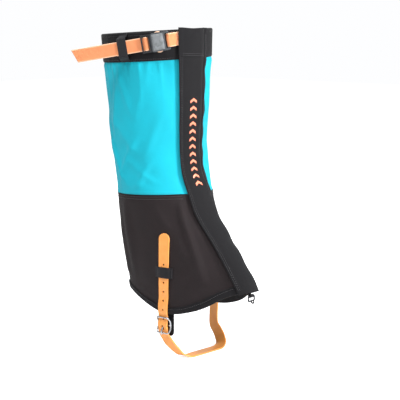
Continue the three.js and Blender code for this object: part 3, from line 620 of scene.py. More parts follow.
TURQUOISE = woven("turquoise_fabric", "0eb8cd", "068ea2", 0.9 * MM, 0.06 * MM, 0.72, crease=0.5 * MM)
CANVAS = woven("canvas", "271f21", "0d0a0b", 1.3 * MM, 0.18 * MM, 0.8, 0.03, 0.016, 0.4 * MM)
BLACK = woven("black_fabric", "161518", "09080a", 1.0 * MM, 0.12 * MM, 0.85)
SALMON = webbing("salmon_webbing", "e99464", "c57042", "ffd0ae", 2 * HALF_STRAP)
TPU = moulded("orange_strap", "fdb060", "ef923a", 0.42, Coat_Weight=0.1)
BLACK_WEBBING = webbing("black_webbing", "1d1c20", "0b0a0c", "252327", 0.02, 0.8)
GREY_PLASTIC = moulded("grey_plastic", "9a9ea1", "44484b", 0.26, Coat_Weight=0.3)
# A darker copy of the grey plastic: painted shade on the female buckle's body, beside its lighter crown.
SHADED_GREY_PLASTIC = moulded("shaded_grey_plastic", "55595d", "34373a", 0.32, Coat_Weight=0.2)
BLACK_PLASTIC = moulded("black_plastic", "2c2c2f", "18181b", 0.4)
SALMON_PLASTIC = moulded("salmon_plastic", "ffdcc0", "f7bf98", 0.42, Coat_Weight=0.1)
STEEL = metal("steel", "dcdee2", "a8abb0", 0.22)
BLACK_METAL = metal("black_metal", "3b3c40", "1b1c1f", 0.3)
LOOPS = fuzzy("fastener_loops", "2c2c30", "0f0f11", 0.35 * MM)
HOOKS = fuzzy("fastener_hooks", "242428", "0a0a0c", 0.5 * MM)
PRINT = printed("salmon_print", "ff9a76", "ee7a58")
GREY_THREAD = thread("grey_thread", "3c393e", "242226")
PALE_THREAD = thread("pale_thread", "ffe2ca", "f7c3a0")
DEEP_THREAD = thread("turquoise_thread", "1fb8cd", "128798")

# ---------------------------------------------------------------- placing pieces


def finished(piece, material, slot, nodes=(), body="gaiter"):
    """Gives a piece its material, hides the CAD nodes it stands for and attaches it to its body; a body of
    None leaves it unattached.
    """
    piece.data.materials.append(material)
    if nodes:
        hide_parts(*nodes)
    if body:
        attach(piece, body)
    return piece


def sewn(name, rows, thread=GREY_THREAD, slot="black_fabric", body="gaiter", size=()):
    """A piece made of rows of stitches; size gives their pitch and length."""
    return finished(stitches(name, rows, *size), thread, slot, body=body)


def peeled(piece):
    """A layer of the flap, with its transform baked into its mesh."""
    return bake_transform(piece)


# ---------------------------------------------------------------- body panels


def beside_flap(turn, z):
    """0 where the flap and its margin lie on the panels, 1 clear of them."""
    side = around(turn)
    sewn = sewn_turn(z)
    return np.where(side > 0, smoothstep(30, 40, side), smoothstep(-sewn + 8, -sewn + 16, -side))


def beside_stirrup(turn, z):
    """0 where the stirrup strap, its keeper and buckle lie on the panel, 1 clear of them."""
    y = body_point(turn, z)[..., 1]
    near = 1 - smoothstep(0.012, 0.024, np.abs(y - STIRRUP_Y))
    below = 1 - smoothstep(0.172, 0.184, z)
    on_outer = (around(turn) > 0).astype(float)
    low = 1 - smoothstep(0.090, 0.100, z)
    return 1 - near * np.maximum(below * on_outer, low)


GATHER_TURNS = np.cumsum(rng.uniform(7, 13, 34)) + 34
GATHER_TURNS = GATHER_TURNS[GATHER_TURNS < 340]
# Gathers under the top hem: turn, rise, width in degrees, reach downwards and lean in degrees a metre.
GATHER_RANGES = (1.4 * MM, 3.0 * MM), (1.5, 3.0), (0.008, 0.024), (-150, 150)
GATHERS = [(turn, *(rng.uniform(*span) for span in GATHER_RANGES)) for turn in GATHER_TURNS]
# Soft diagonal creases of the upper panel: turn and height of the middle, lean in degrees a metre, half
# length, width in degrees, and rise in millimetres.
CREASES = [
    (104, 0.340, -260, 0.065, 5.5, 2.8),
    (88, 0.356, 240, 0.045, 4.5, 1.9),
    (70, 0.352, -200, 0.050, 5.0, 1.5),
    (92, 0.268, -520, 0.045, 5.5, 3.0),
    (112, 0.262, 420, 0.040, 5.0, 2.6),
    (74, 0.246, -640, 0.030, 5.0, 2.6),
    (57, 0.300, -360, 0.050, 5.5, 1.5),
    (94, 0.298, 800, 0.036, 8.0, 1.3),
    (78, 0.254, 900, 0.028, 7.5, 1.1),
    (128, 0.300, 300, 0.040, 5.5, 2.2),
    (150, 0.262, -300, 0.050, 6.0, 2.5),
    (178, 0.330, 260, 0.060, 6.0, 2.3),
    (205, 0.262, -380, 0.045, 6.0, 2.7),
    (235, 0.322, 320, 0.050, 6.0, 2.3),
    (262, 0.255, -360, 0.040, 6.0, 2.6),
    (290, 0.325, 300, 0.055, 6.0, 2.2),
    (316, 0.262, -300, 0.040, 6.0, 1.8),
]


def raised(turn, z, folds, taper):
    """Height of soft folds that fade out over their length, the sooner the greater the taper."""
    height = np.zeros(np.broadcast_shapes(np.shape(turn), np.shape(z)))
    for centre, level, lean, length, width, rise in folds:
        away = (turn - centre - lean * (z - level)) / width
        height = height + rise * MM * np.exp(-(away**2) - ((z - level) / length * taper) ** 4)
    return height


def upper_folds(turn, z):
    """Gathers under the top hem, diagonal creases and a slow unevenness of the upper panel."""
    below = rim_z(turn) - TOP_HEM_HEIGHT - z
    free = smoothstep(-0.002, 0.006, below) * smoothstep(0.002, 0.014, z - seam_z(turn))
    height = raised(turn, z, CREASES, 1.6)
    for centre, rise, width, reach, lean in GATHERS:
        away = (turn - centre - lean * below) / width
        height = height + rise * np.exp(-(away**2) - np.clip(below, 0, 1) / reach)
    slow = np.sin(np.radians(3 * turn) + 40 * z) + np.sin(np.radians(5 * turn + 50) - 62 * z)
    return (height + 0.5 * MM * slow) * free * beside_flap(turn, z)


# Long soft folds of the lower panel, given in the same way.
FOLDS = [
    (49, 0.158, -210, 0.054, 4.5, 3.8),
    (64, 0.165, 90, 0.045, 5.0, 1.6),
    (118, 0.160, -160, 0.055, 6.0, 2.6),
    (136, 0.135, -120, 0.045, 5.5, 2.8),
    (154, 0.165, 60, 0.050, 6.5, 2.0),
    (174, 0.150, -40, 0.055, 6.0, 2.6),
    (197, 0.160, 70, 0.055, 6.5, 2.3),
    (219, 0.145, -90, 0.050, 6.0, 2.6),
    (241, 0.155, 120, 0.050, 6.0, 2.6),
    (285, 0.150, -110, 0.050, 6.0, 2.4),
    (307, 0.145, -120, 0.045, 6.0, 2.4),
]


def lower_folds(turn, z):
    """Upright folds of the lower panel, between the seam and the binding."""
    above_binding = z - hem_z(turn) - BINDING_HEIGHT
    free = smoothstep(0.0, 0.016, seam_z(turn) - z) * smoothstep(0.008, 0.022, above_binding)
    slow = np.sin(np.radians(4 * turn + 20) + 30 * z) + np.sin(np.radians(7 * turn) - 45 * z)
    height = raised(turn, z, FOLDS, 1) + 0.35 * MM * slow
    return height * free * beside_flap(turn, z) * beside_stirrup(turn, z)


def make_panels():
    """The two panels, which meet at the seam and end inside the bands; gives both pieces."""
    tuck = 2 * MM

    def panel(name, size, rows, edges, folds):
        def out(u, turn, z, w):
            return w * FABRIC + folds(turn, z)

        return fitted_sheet(name, size, (260, rows), edges, body_turn, out)

    upper_edges = (lambda turn: seam_z(turn) + GAP / 2, lambda turn: rim_z(turn) - tuck)
    lower_edges = (lambda turn: hem_z(turn) + tuck, lambda turn: seam_z(turn) - GAP / 2)
    upper = panel("upper_panel_cloth", (0.440, 0.220), 130, upper_edges, upper_folds)
    lower = panel("lower_panel_cloth", (0.430, 0.150), 100, lower_edges, lower_folds)
    finished(upper, TURQUOISE, "turquoise_fabric", ["upper_panel"])
    finished(lower, CANVAS, "canvas", ["lower_panel"])
    return upper, lower


def make_seam():
    """A piped seam between the panels with one row of stitches above it and two below."""
    turn = np.linspace(33, 332, 300)
    z = seam_z(turn)
    cord = tube("panel_seam_piping", on_body(turn, z, FABRIC + 0.1 * MM), 0.55 * MM, points=8)
    finished(cord, BLACK, "black_fabric")
    near, far = 2.2 * MM, 5.5 * MM
    above = body_row(turn, z + near, FABRIC + upper_folds(turn, z + near))
    below = [body_row(turn, z - drop, FABRIC + lower_folds(turn, z - drop)) for drop in (near, far)]
    sewn("panel_seam_stitches_upper", [above], DEEP_THREAD, "turquoise_fabric")
    sewn("panel_seam_stitches_lower", below, GREY_THREAD, "canvas")


def folded_band(name, edge_z, direction, outer_height, inner_height, ripple):
    """A band folded over an edge of the body, with a rounded fold and soft puckers."""
    inner, outer = -GAP - BINDING / 2, HEM_OUT + BINDING / 2
    radius = (outer - inner) / 2
    straight = radius + 3 * MM
    fold = [
        ((inner + outer) / 2 + radius * math.cos(a), radius + BINDING / 2 - radius * math.sin(a))
        for a in np.linspace(math.pi, 0, 12)
    ]
    line = np.array(
        [(inner, depth) for depth in np.linspace(inner_height, straight, 8)]
        + fold
        + [(outer, depth) for depth in np.linspace(straight, outer_height, 16)]
    )
    across = travelled(line)
    shift = normals_of(line) * rounded(across / across[-1], 0.5 * MM / across[-1])[:, None] * BINDING / 2
    offset, depth = np.concatenate([line + shift, (line - shift)[::-1]]).T[:, None]
    u = np.linspace(0, 1, 320)[:, None]
    turn = body_turn(u, edge_z(0) + direction * depth)
    z = edge_z(turn) + direction * depth
    turn = body_turn(u, z)
    points = on_body(turn, z, offset + smoothstep(0, HEM_OUT, offset) * ripple(turn, depth))
    uv = np.stack(np.broadcast_arrays(u * 0.44, np.concatenate([across, across[::-1]])), axis=-1)
    return loft(name, points, uv)


def hem_ripple(turn, depth):
    """Puckers of the hem, strongest at its stitched lower edge and kept flat under the strap and flap."""
    angle = np.radians(turn)
    wave = np.sin(angle * 31) + np.sin(angle * 47 + 2) + np.sin(angle * 19 + 4)
    under_strap = 1 - smoothstep(82, 96, around(turn)) * (around(turn) > 0) - (around(turn) < 0)
    low = smoothstep(0.015, TOP_HEM_HEIGHT, depth)
    amount = mix(0.30, 0.08, np.clip(under_strap, 0, 1)) * MM
    return amount * (0.35 + 0.65 * low) * (wave + 1.2) * 0.5 * beside_flap(turn, 0.42)


def binding_ripple(turn, depth):
    """Small puckers of the bottom binding's outside."""
    return 0.12 * MM * np.sin(np.radians(turn) * 60) * (depth > 3 * MM)


def make_bands():
    hem = folded_band("top_hem_band", rim_z, -1, TOP_HEM_HEIGHT, 0.018, hem_ripple)
    finished(hem, BLACK, "black_fabric", ["top_hem"])
    binding = folded_band("bottom_binding_band", hem_z, 1, BINDING_HEIGHT, BINDING_HEIGHT, binding_ripple)
    finished(binding, BLACK, "black_fabric", ["bottom_binding"])
    outer = HEM_OUT + BINDING
    turn = np.linspace(31, 340, 320)
    rows = [
        body_row(turn, rim_z(turn) - depth, outer + hem_ripple(turn, depth))
        for depth in (4 * MM, TOP_HEM_HEIGHT - 2.5 * MM)
    ]
    sewn("top_hem_stitches", rows)
    turn = np.linspace(31, 334, 320)
    sewn("bottom_binding_stitches", [body_row(turn, hem_z(turn) + BINDING_HEIGHT - 2 * MM, outer)])


# ---------------------------------------------------------------- front flap and its fastener


def free_turn(z):
    return FREE_EDGE_TURN + 2.5 * (1 - smoothstep(0.110, 0.160, z))


def flap_offset(turn, z):
    """Distance of the flap's inner face outside the body."""
    bottom = rim_z(turn) - TOP_HEM_HEIGHT
    hem = smoothstep(bottom - 16 * MM, bottom - 2 * MM, z)
    binding_top = hem_z(turn) + BINDING_HEIGHT
    binding = 1 - smoothstep(binding_top + 3 * MM, binding_top + 16 * MM, z)
    margin = mix(LOOP_OUT, OVER_HEM, np.maximum(hem, binding))
    over_fastener = mix(FLAP_OUT, OVER_HEM + WEBBING + 2 * GAP, hem)
    sewn = sewn_turn(z)
    return mix(margin, over_fastener, smoothstep(sewn, sewn + 9, turn))


PUCKERS = smooth_curve([
    (z, rng.uniform(0.5, 1) * (1 if i % 2 else -1))
    for i, z in enumerate(np.cumsum(rng.uniform(0.010, 0.020, 30)) + 0.06)
])


def pucker(z):
    """Waves from 0 to 1 along the seam where the flap is sewn on."""
    return (PUCKERS(z)[..., 0] + 1) / 2


def flap_ripple(u, z):
    """Puckers along the sewn edge, a slight bulge across the flap and a slack free edge."""
    pucker_rise = 1.6 * MM * pucker(z) * smoothstep(0, 0.12, u) * (1 - smoothstep(0.16, 0.5, u))
    bulge = 1.0 * MM * 4 * u * (1 - u)
    slack = 0.5 * MM * (1 + np.sin(z * 95) * np.sin(z * 41 + 1)) * smoothstep(0.6, 1, u)
    held = smoothstep(0.004, 0.02, RIM_Z - FLAP_BAND_HEIGHT - z)
    return pucker_rise * mix(0.3, 1, held) + (bulge + slack) * mix(0.35, 1, held)


def flap_band_z(turn):
    return RIM_Z - FLAP_BAND_HEIGHT + 0.05 * MM * (turn - FREE_EDGE_TURN)


def flap_top(turn):
    """The flap's top edge, with its free corner standing up."""
    return rim_z(turn) + 1.5 * MM + 2.2 * MM * smoothstep(8, FREE_EDGE_TURN, turn)


def flap_bottom(turn):
    return hem_z(turn) - 2 * MM


def flap_turn(u, z):
    """Turn at a share of the flap's width, from the sewn edge to the free one."""
    return mix(sewn_turn(z) + FLAP_START, free_turn(z), u)


def flap_face(u, z, lift):
    """Points on the flap's outer face."""
    turn = flap_turn(u, z)
    return on_body(turn, z, flap_offset(turn, z) + flap_ripple(u, z) + FABRIC + lift)


def flap_thickness(u, turn, z):
    """The cloth is doubled in the band at the top and in the hem of the free edge."""
    band = smoothstep(-0.2 * MM, 0.2 * MM, z - flap_band_z(turn))
    hem = smoothstep(0.855, 0.87, u)
    return FABRIC + 0.5 * MM * band + 0.3 * MM * hem


def make_flap():
    def out(u, turn, z, w):
        return flap_offset(turn, z) + flap_ripple(u, z) + w * flap_thickness(u, turn, z)

    flap = fitted_sheet("flap_cloth", (0.047, 0.362), (60, 420), (flap_bottom, flap_top), flap_turn, out)
    finished(flap, BLACK, "black_fabric", ["flap_upper", "flap_lower", "flap_top_band"], body=None)
    peeled(flap)

    z = np.linspace(0.100, 0.441, 340)
    rows = [(flap_face(u, z, 0.3 * MM), body_normal(flap_turn(u, z), z)) for u in (0.905, 0.95)]
    u = np.linspace(0.03, 0.97, 60)
    turn = flap_turn(u, RIM_Z - FLAP_BAND_HEIGHT)
    for rise in (2 * MM, 4.5 * MM):
        level = flap_band_z(turn) + rise
        rows.append((flap_face(u, level, 0.5 * MM), body_normal(turn, level)))
    peeled(sewn("flap_stitches", rows, body=None))
    return flap


def make_flap_print():
    """A plain column of chevrons down the middle of the flap."""
    count, lowest, highest = 12, 0.236, 0.350
    half_width, rise, stroke = 0.125, 3.4 * MM, 3.5 * MM

    def arm(i, side):
        def place(u, v, w):
            z = mix(lowest, highest, i / (count - 1)) - rise * u + stroke * (v - 0.5)
            return flap_face(0.50 + side * half_width * u, z, w * 0.12 * MM)

        return sheet(f"chevron_{i}_{side}", (5 * MM, stroke), place, 6, 4, 0.1 * MM)

    arms = [arm(i, side) for i in range(count) for side in (-1, 1)]
    peeled(finished(joined("flap_print", arms), PRINT, "salmon_webbing", body=None))


def margin_start(z):
    """Turn of the margin's outer edge, wavy below the top hem."""
    wave = 1.9 * PUCKERS(z + 4 * MM)[..., 0] * smoothstep(2 * MM, 16 * MM, RIM_Z - TOP_HEM_HEIGHT - z)
    return sewn_turn(z) - 4.4 + wave


def make_margin():
    """The flap's seam margin: a black strip sewn to the panel, with a wavy edge where the seam puckers."""
    def spread(u, z):
        return mix(margin_start(z), sewn_turn(z) - 0.4, u)

    def out(u, turn, z, w):
        return flap_offset(turn, z) + 0.8 * MM * pucker(z) * (1 - (2 * u - 1) ** 2) + w * FABRIC

    margin = fitted_sheet(
        "flap_margin_cloth", (0.010, 0.362), (14, 420), (flap_bottom, lambda turn: rim_z(turn) + 1 * MM),
        spread, out, first=lambda u, v: sewn_turn(mix(flap_bottom(0), rim_z(0), v)) - 4,
    )
    finished(margin, BLACK, "black_fabric", ["flap_margin"])
    z = np.linspace(0.108, 0.436, 320)
    turns = [sewn_turn(z) - back for back in (1.3, 2.2)]
    rows = [body_row(turn, z, flap_offset(turn, z) + FABRIC + 0.7 * MM * pucker(z)) for turn in turns]
    sewn("flap_margin_stitches", rows)
    z = np.linspace(0.0975, 0.4435, 300)
    turn = sewn_turn(z) + 0.3
    roll = tube("flap_seam_roll", on_body(turn, z, flap_offset(turn, z) + FABRIC / 2), 0.95 * MM, points=12)
    finished(roll, BLACK, "black_fabric")


def make_fastener():
    """Loops sewn to the body and hooks sewn inside the flap."""
    edges = (lambda turn: hem_z(turn) + 13 * MM, lambda turn: rim_z(turn) - TOP_HEM_HEIGHT - 18 * MM)

    def spread(u, z):
        return mix(sewn_turn(z) + FASTENER_INSET[0], free_turn(z) - FASTENER_INSET[1], u)

    def strip(name, layer):
        return fitted_sheet(
            name, (0.025, 0.270), (20, 160), edges, spread, lambda u, turn, z, w: layer + w * FASTENER,
            first=lambda u, v: spread(u, 0.3), rim=0.3 * MM,
        )

    finished(strip("loop_strip", LOOP_OUT), LOOPS, "fastener", ["fastener_loops"])
    hooks = strip("hook_strip", HOOK_OUT)
    peeled(finished(hooks, HOOKS, "fastener", ["fastener_hooks_upper", "fastener_hooks_lower"], body=None))


# ---------------------------------------------------------------- top strap and side-release buckle


def strap_axes():
    """The top strap's frame: x along it to the front, y across it and up, z away from the leg."""
    contact = on_body(TOP_STRAP_TURN, TOP_STRAP_Z, OVER_HEM)
    forward = body_point(TOP_STRAP_TURN - 0.5, TOP_STRAP_Z) - body_point(TOP_STRAP_TURN + 0.5, TOP_STRAP_Z)
    out = unit((forward[1], -forward[0], 0))
    x = unit(unit(forward) + np.array([0, 0, math.tan(math.radians(TOP_STRAP_SLOPE))]))
    return contact, x, np.cross(out, x), out


STRAP_AT, STRAP_X, STRAP_Y, STRAP_OUT = strap_axes()
in_strap = placed_in(STRAP_AT, STRAP_X, STRAP_Y, STRAP_OUT)


def under_strap(x):
    """Turn of the hem under a place along the strap."""
    return TOP_STRAP_TURN - np.degrees(x / HEM_RADIUS)


def hem_under_strap(x, y, offset):
    """The hem's surface under a point of the strap's frame."""
    return on_body(under_strap(x), in_strap(x, y, 0)[..., 2], offset)


def hem_row(line):
    """A row of stitches on the webbing that lies on the hem."""
    x, y = line.T
    return body_row(under_strap(x), in_strap(x, y, 0)[..., 2], OVER_HEM + WEBBING)


def make_top_keeper():
    over_strap = UPPER_RUN + WEBBING / 2 + GAP
    wall, half = 1.2 * MM, 18.5 * MM

    def place(u, v, w):
        x, y = mix(*KEEPER_X, u), (2 * v - 1) * half
        laid = hem_under_strap(x, y, OVER_HEM + w * wall)
        bridge = in_strap(x, y, over_strap + w * wall)
        return mix(bridge, laid, smoothstep(0.62, 0.98, np.abs(2 * v - 1))[..., None])

    keeper = sheet("top_keeper_webbing", (0.0125, 0.037), place, 14, 50)
    finished(keeper, BLACK_WEBBING, "black_fabric", ["top_strap_keeper"])
    x = np.linspace(KEEPER_X[0] + 1.5 * MM, KEEPER_X[1] - 1.5 * MM, 20)
    rows = [
        (hem_under_strap(x, np.full(20, y * MM), OVER_HEM + wall), np.tile(STRAP_OUT, (20, 1)))
        for y in (-15.2, -17.2, 15.2, 17.2)
    ]
    sewn("top_keeper_stitches", rows, size=(2.2 * MM, 1.7 * MM))


def make_top_strap():
    """The fixed run from its anchor to the middle bar, and the strap over the bar and on to its tail."""
    anchor_x, bar_x = -0.048, MALE_X[0] + 8.2 * MM

    def fixed(u, v, w):
        x, y = mix(anchor_x, bar_x, v), (2 * u - 1) * HALF_STRAP
        straight = in_strap(x, y, w * WEBBING)
        laid = hem_under_strap(x, y, OVER_HEM + w * WEBBING)
        return mix(straight, laid, smoothstep(0.018, 0.044, -x)[..., None])

    run = sheet("top_strap_lower_run", (2 * HALF_STRAP, bar_x - anchor_x), fixed, 16, 60)
    finished(run, SALMON, "salmon_webbing", ["top_strap_fixed_run"])
    tuple(in_strap(anchor_x, 0, 0))
    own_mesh(run)

    bar_middle = MALE_X[0] + 6.3 * MM
    over_bar = [
        (2.9, 0.3), (2.7, 3), (1.7, 4.9), (0, 5.35), (-1.7, 4.9), (-2.7, 3.5), (-4, 2.65), (-5.7, 2.5),
    ]
    straight = [(x, UPPER_RUN) for x in np.linspace(bar_middle - 8 * MM, TAIL_X[0], 50)]
    path = np.concatenate([smooth_line(np.array(over_bar) * MM + (bar_middle, 0), 48), straight])
    total, normals = length_of(path), normals_of(path)

    def threaded(u, v, w):
        x, z = np.moveaxis(resampled(path, v * total), -1, 0)
        lift_x, lift_z = np.moveaxis(unit(resampled(path, v * total, normals)), -1, 0) * (0.5 - w) * WEBBING
        slant = 7 * MM * (1 - u) * smoothstep(-TAIL_X[1], -TAIL_X[0], -x)
        return in_strap(x + lift_x + slant, (2 * u - 1) * HALF_STRAP, z + lift_z)

    strap = sheet("top_strap_and_tail", (2 * HALF_STRAP, total), threaded, 16, 150)
    finished(strap, SALMON, "salmon_webbing", ["top_strap_run", "top_strap_tail"], body=None)
    bend = [tuple(in_strap(TAIL_X[1] + shift, 0, UPPER_RUN)) for shift in (0.5 * MM, -7 * MM)]
    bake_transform(strap)


def make_buckle_webbing():
    """Webbing looped through the female half and sewn to the hem under the flap with a crossed box."""
    front = FEMALE_X[1]
    over_bar = [(-0.6, -1), (-2.6, -0.7), (-3.5, 1.4), (-2.6, 4), (0.2, 4), (2.2, 0.4), (4.4, -4.6)]
    loop = smooth_line(np.array(over_bar) * MM + (front, 0), 60)
    loop_points = in_strap(loop[:, 0], 0, loop[:, 1])
    normals = normals_of(loop)
    out = normals[:, :1] * STRAP_X + normals[:, 1:] * STRAP_OUT
    laid_x = np.linspace(front + 7.6 * MM, front + 27 * MM, 40)
    total = length_of(loop) + laid_x[-1] - loop[-1, 0]
    looped_rows, rows = len(loop), len(loop) + len(laid_x)

    def place(u, v, w):
        row = np.round(v * (rows - 1)).astype(int)
        y = (2 * u - 1) * HALF_STRAP
        on_loop = np.minimum(row, looped_rows - 1)
        looped = loop_points[on_loop] + y[..., None] * STRAP_Y + out[on_loop] * (w - 0.5)[..., None] * WEBBING
        laid = hem_under_strap(laid_x[np.maximum(row - looped_rows, 0)], y, OVER_HEM + w * WEBBING)
        return np.where((row >= looped_rows)[..., None], laid, looped)

    piece = sheet("buckle_webbing_loop", (2 * HALF_STRAP, total), place, 16, rows, square_ends=True)
    finished(piece, SALMON, "salmon_webbing", ["buckle_webbing"])

    near, far, reach = front + 9 * MM, front + 17 * MM, HALF_STRAP - 1.8 * MM
    corners = [(near, -reach), (far, -reach), (near, reach), (far, reach)]
    box = [(0, 1), (2, 3), (0, 2), (1, 3), (0, 3), (2, 1)]
    lines = [hem_row(np.linspace(corners[a], corners[b], 12)) for a, b in box]
    sewn("buckle_webbing_stitches", lines, PALE_THREAD, "salmon_webbing", size=(1.9 * MM, 1.5 * MM))


def bevelled_copy(name, node, width, material, slot, body):
    """A moulded piece in the shape of its CAD node, with its edges rounded."""
    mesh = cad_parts[node].data.copy()
    mesh.materials.clear()
    solid = bmesh.new()
    solid.from_mesh(mesh)
    bmesh.ops.remove_doubles(solid, verts=solid.verts, dist=1e-6)
    bmesh.ops.dissolve_limit(solid, angle_limit=math.radians(1), verts=solid.verts, edges=solid.edges)
    solid.to_mesh(mesh)
    solid.free()
    piece = added(name, mesh)
    bevel = piece.modifiers.new("rounded edges", "BEVEL")
    bevel.width = width
    bevel.segments = 3
    bevel.limit_method = "ANGLE"
    bevel.angle_limit = math.radians(35)
    bevel.harden_normals = True
    mesh.polygons.foreach_set("use_smooth", [True] * len(mesh.polygons))
    return finished(piece, material, slot, [node], body)


def make_buckle():
    """The side-release buckle: the CAD pieces with rounded edges, and a crowned plate on the female half."""
    for name, node, width, material, slot, body in (
        ("buckle_male_body", "buckle_male_frame", 0.35, BLACK_PLASTIC, "black_plastic", "buckle_male"),
        ("release_pad_upper", "release_arm_upper", 0.35, SALMON_PLASTIC, "salmon_plastic", "arm_upper"),
        ("release_pad_lower", "release_arm_lower", 0.35, SALMON_PLASTIC, "salmon_plastic", "arm_lower"),
        # The female body takes the darker copy of the grey plastic: painted shade.
        ("buckle_female_body", "buckle_female", 0.6, SHADED_GREY_PLASTIC, "grey_plastic", "gaiter"),
    ):
        bevelled_copy(name, node, width * MM, material, slot, body)

    def crown(u, v, w):
        x = mix(FEMALE_X[0] + 1.8 * MM, FEMALE_X[0] + 17.2 * MM, u)
        dome = (1 - (2 * u - 1) ** 6) * (1 - (2 * v - 1) ** 6)
        return in_strap(x, (2 * v - 1) * 10.4 * MM, 7.6 * MM + w * 1.0 * MM * dome)

    plate = sheet("buckle_female_crown", (0.0154, 0.0208), crown, 30, 36, 0.3 * MM)
    finished(plate, GREY_PLASTIC, "grey_plastic")


# ---------------------------------------------------------------- stirrup strap and its buckle

ON_PANEL = FABRIC + GAP


def strap_station(z, offset, side=1):
    """The middle of the stirrup strap's inner face on the body, and its direction across."""
    turn = turn_at(STIRRUP_Y, z, side)
    across = (on_body(turn + 1, z, offset) - on_body(turn - 1, z, offset)) * side
    across[2] = 0
    return np.concatenate([on_body(turn, z, offset), unit(across)])


def stirrup_path():
    """Stations of the strap's inner face from its tip, down and under the shoe, and up inside."""
    over_bar, under_bars = 2.9 * MM, 1.0 * MM
    between = (over_bar + under_bars) / 2
    buckle = [
        (BAR_REACH, under_bars), (BAR_REACH / 2, between), (0, over_bar),
        (-BAR_REACH / 2, between), (-BAR_REACH, under_bars),
    ]
    outer = [strap_station(z, ON_PANEL) for z in np.linspace(STIRRUP_TIP_Z, 0.082, 12)]
    outer += [strap_station(0.070, OVER_HEM), strap_station(0.061, OVER_HEM)]
    outer += [strap_station(STIRRUP_BUCKLE_Z + rise, BAR_OUT + offset) for rise, offset in buckle]
    under = np.array([
        (48, -65, 26), (47, -71.5, 19.5), (44.5, -79, 12.5), (39.5, -86, 5.5),
        (30, -90, 2.1), (20, -90, 1.8), (10, -90, 1.8),
    ]) * MM
    to_middle = [np.concatenate([point * (-1, 1, 1), (0, 1, 0)]) for point in under]
    from_middle = [np.concatenate([point, (0, 1, 0)]) for point in under[::-1]]
    inner = [
        strap_station(z, offset, -1)
        for z, offset in (
            (0.042, OVER_HEM - 1 * MM), (0.056, OVER_HEM), (0.070, OVER_HEM), (STIRRUP_TOP_INSIDE, OVER_HEM),
        )
    ]
    rows = np.array(outer + to_middle + from_middle + inner)
    distances = travelled(rows[:, :3])
    return smooth_curve(np.column_stack([distances, rows])), distances[-1]


STIRRUP_LINE, STIRRUP_LENGTH = stirrup_path()


def stirrup_axes(distance):
    """Middle of the strap's inner face at a distance from its tip, with its directions."""
    here = STIRRUP_LINE(distance)
    ahead, behind = (STIRRUP_LINE(distance + step)[..., :3] for step in (0.4 * MM, -0.4 * MM))
    along = unit(ahead - behind)
    across = here[..., 3:]
    across = unit(across - along * np.sum(across * along, axis=-1, keepdims=True))
    return here[..., :3], along, across, np.cross(across, along)


def stirrup_distance(z):
    """Distance along the strap at which it is at a height on the outer side."""
    distances = np.linspace(0, STIRRUP_LENGTH * 0.5, 4000)
    return np.interp(-z, -STIRRUP_LINE(distances)[:, 2], distances)


def hole_cutter(z, radius, stretch=0.0):
    """A pin through the strap at a height; stretch makes its hole oblong."""
    middle, along, across, out = stirrup_axes(stirrup_distance(z))
    angle = np.linspace(0, 2 * math.pi, 24, endpoint=False)[:, None] + 0.01
    rise = radius * np.sin(angle) + np.sign(np.sin(angle)) * stretch / 2
    outline = middle + (across * radius * np.cos(angle) + along * rise)
    return loft("hole", np.array([outline - out * 2 * MM, outline + out * 4 * MM]))


def make_stirrup_strap():
    half = STIRRUP_WIDTH / 2

    def place(u, v, w):
        at = v * STIRRUP_LENGTH
        middle, _, across, out = stirrup_axes(at)
        tip = np.clip(half - at, 0, half)
        reach = np.sqrt(np.maximum(half**2 - tip**2, (0.5 * MM) ** 2))
        rim = 0.22 * MM * smoothstep(0.74, 0.86, np.abs(2 * u - 1)) * (w > 0.5)
        return middle + across * ((2 * u - 1) * reach)[..., None] + out * (w * STIRRUP_THICK + rim)[..., None]

    strap = sheet("stirrup_strap_moulded", (STIRRUP_WIDTH, STIRRUP_LENGTH), place, 30, 640, 0.4 * MM)
    cutters = [hole_cutter(PRONG_HOLE_Z + i * HOLE_PITCH, 0.8 * HOLE_RADIUS) for i in range(1, 8)]
    cutters.append(hole_cutter(STIRRUP_BUCKLE_Z - PRONG_HOLE_DROP, HOLE_RADIUS, PRONG_HOLE_STRETCH))
    cutter = joined("holes", cutters)
    holes = strap.modifiers.new("holes", "BOOLEAN")
    holes.object = cutter
    holes.operation = "DIFFERENCE"
    holes.solver = "EXACT"
    apply_modifiers(strap)
    bpy.data.objects.remove(cutter)
    finished(strap, TPU, "orange_strap", ["stirrup_strap", "stirrup_strap_tip"], body=None)
    start, end = (tuple(STIRRUP_LINE(stirrup_distance(z))[:3]) for z in STIRRUP_TIP_BEND_Z)
    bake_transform(strap)

    rows = []
    for z in (0.066, 0.069, 0.078, 0.081):
        middle, _, across, out = stirrup_axes(STIRRUP_LENGTH - (STIRRUP_TOP_INSIDE - z))
        face = STIRRUP_THICK + 0.02 * MM
        line = np.array([middle + across * reach + out * face for reach in (-6 * MM, 0, 6 * MM)])
        rows.append((line, np.tile(out, (3, 1))))
    sewn("stirrup_inner_stitches", rows, PALE_THREAD, "orange_strap", size=(2.4 * MM, 1.9 * MM))


def apply_modifiers(piece):
    """Replaces a piece's mesh by what its modifiers make of it."""
    graph = bpy.context.evaluated_depsgraph_get()
    graph.update()
    made = bpy.data.meshes.new_from_object(piece.evaluated_get(graph))
    piece.modifiers.clear()
    old = piece.data
    piece.data = made
    bpy.data.meshes.remove(old)


def beside_strap(y, z):
    """Turn at a distance from the stirrup strap's middle, to the front or back."""
    return turn_at(STIRRUP_Y + y, z)


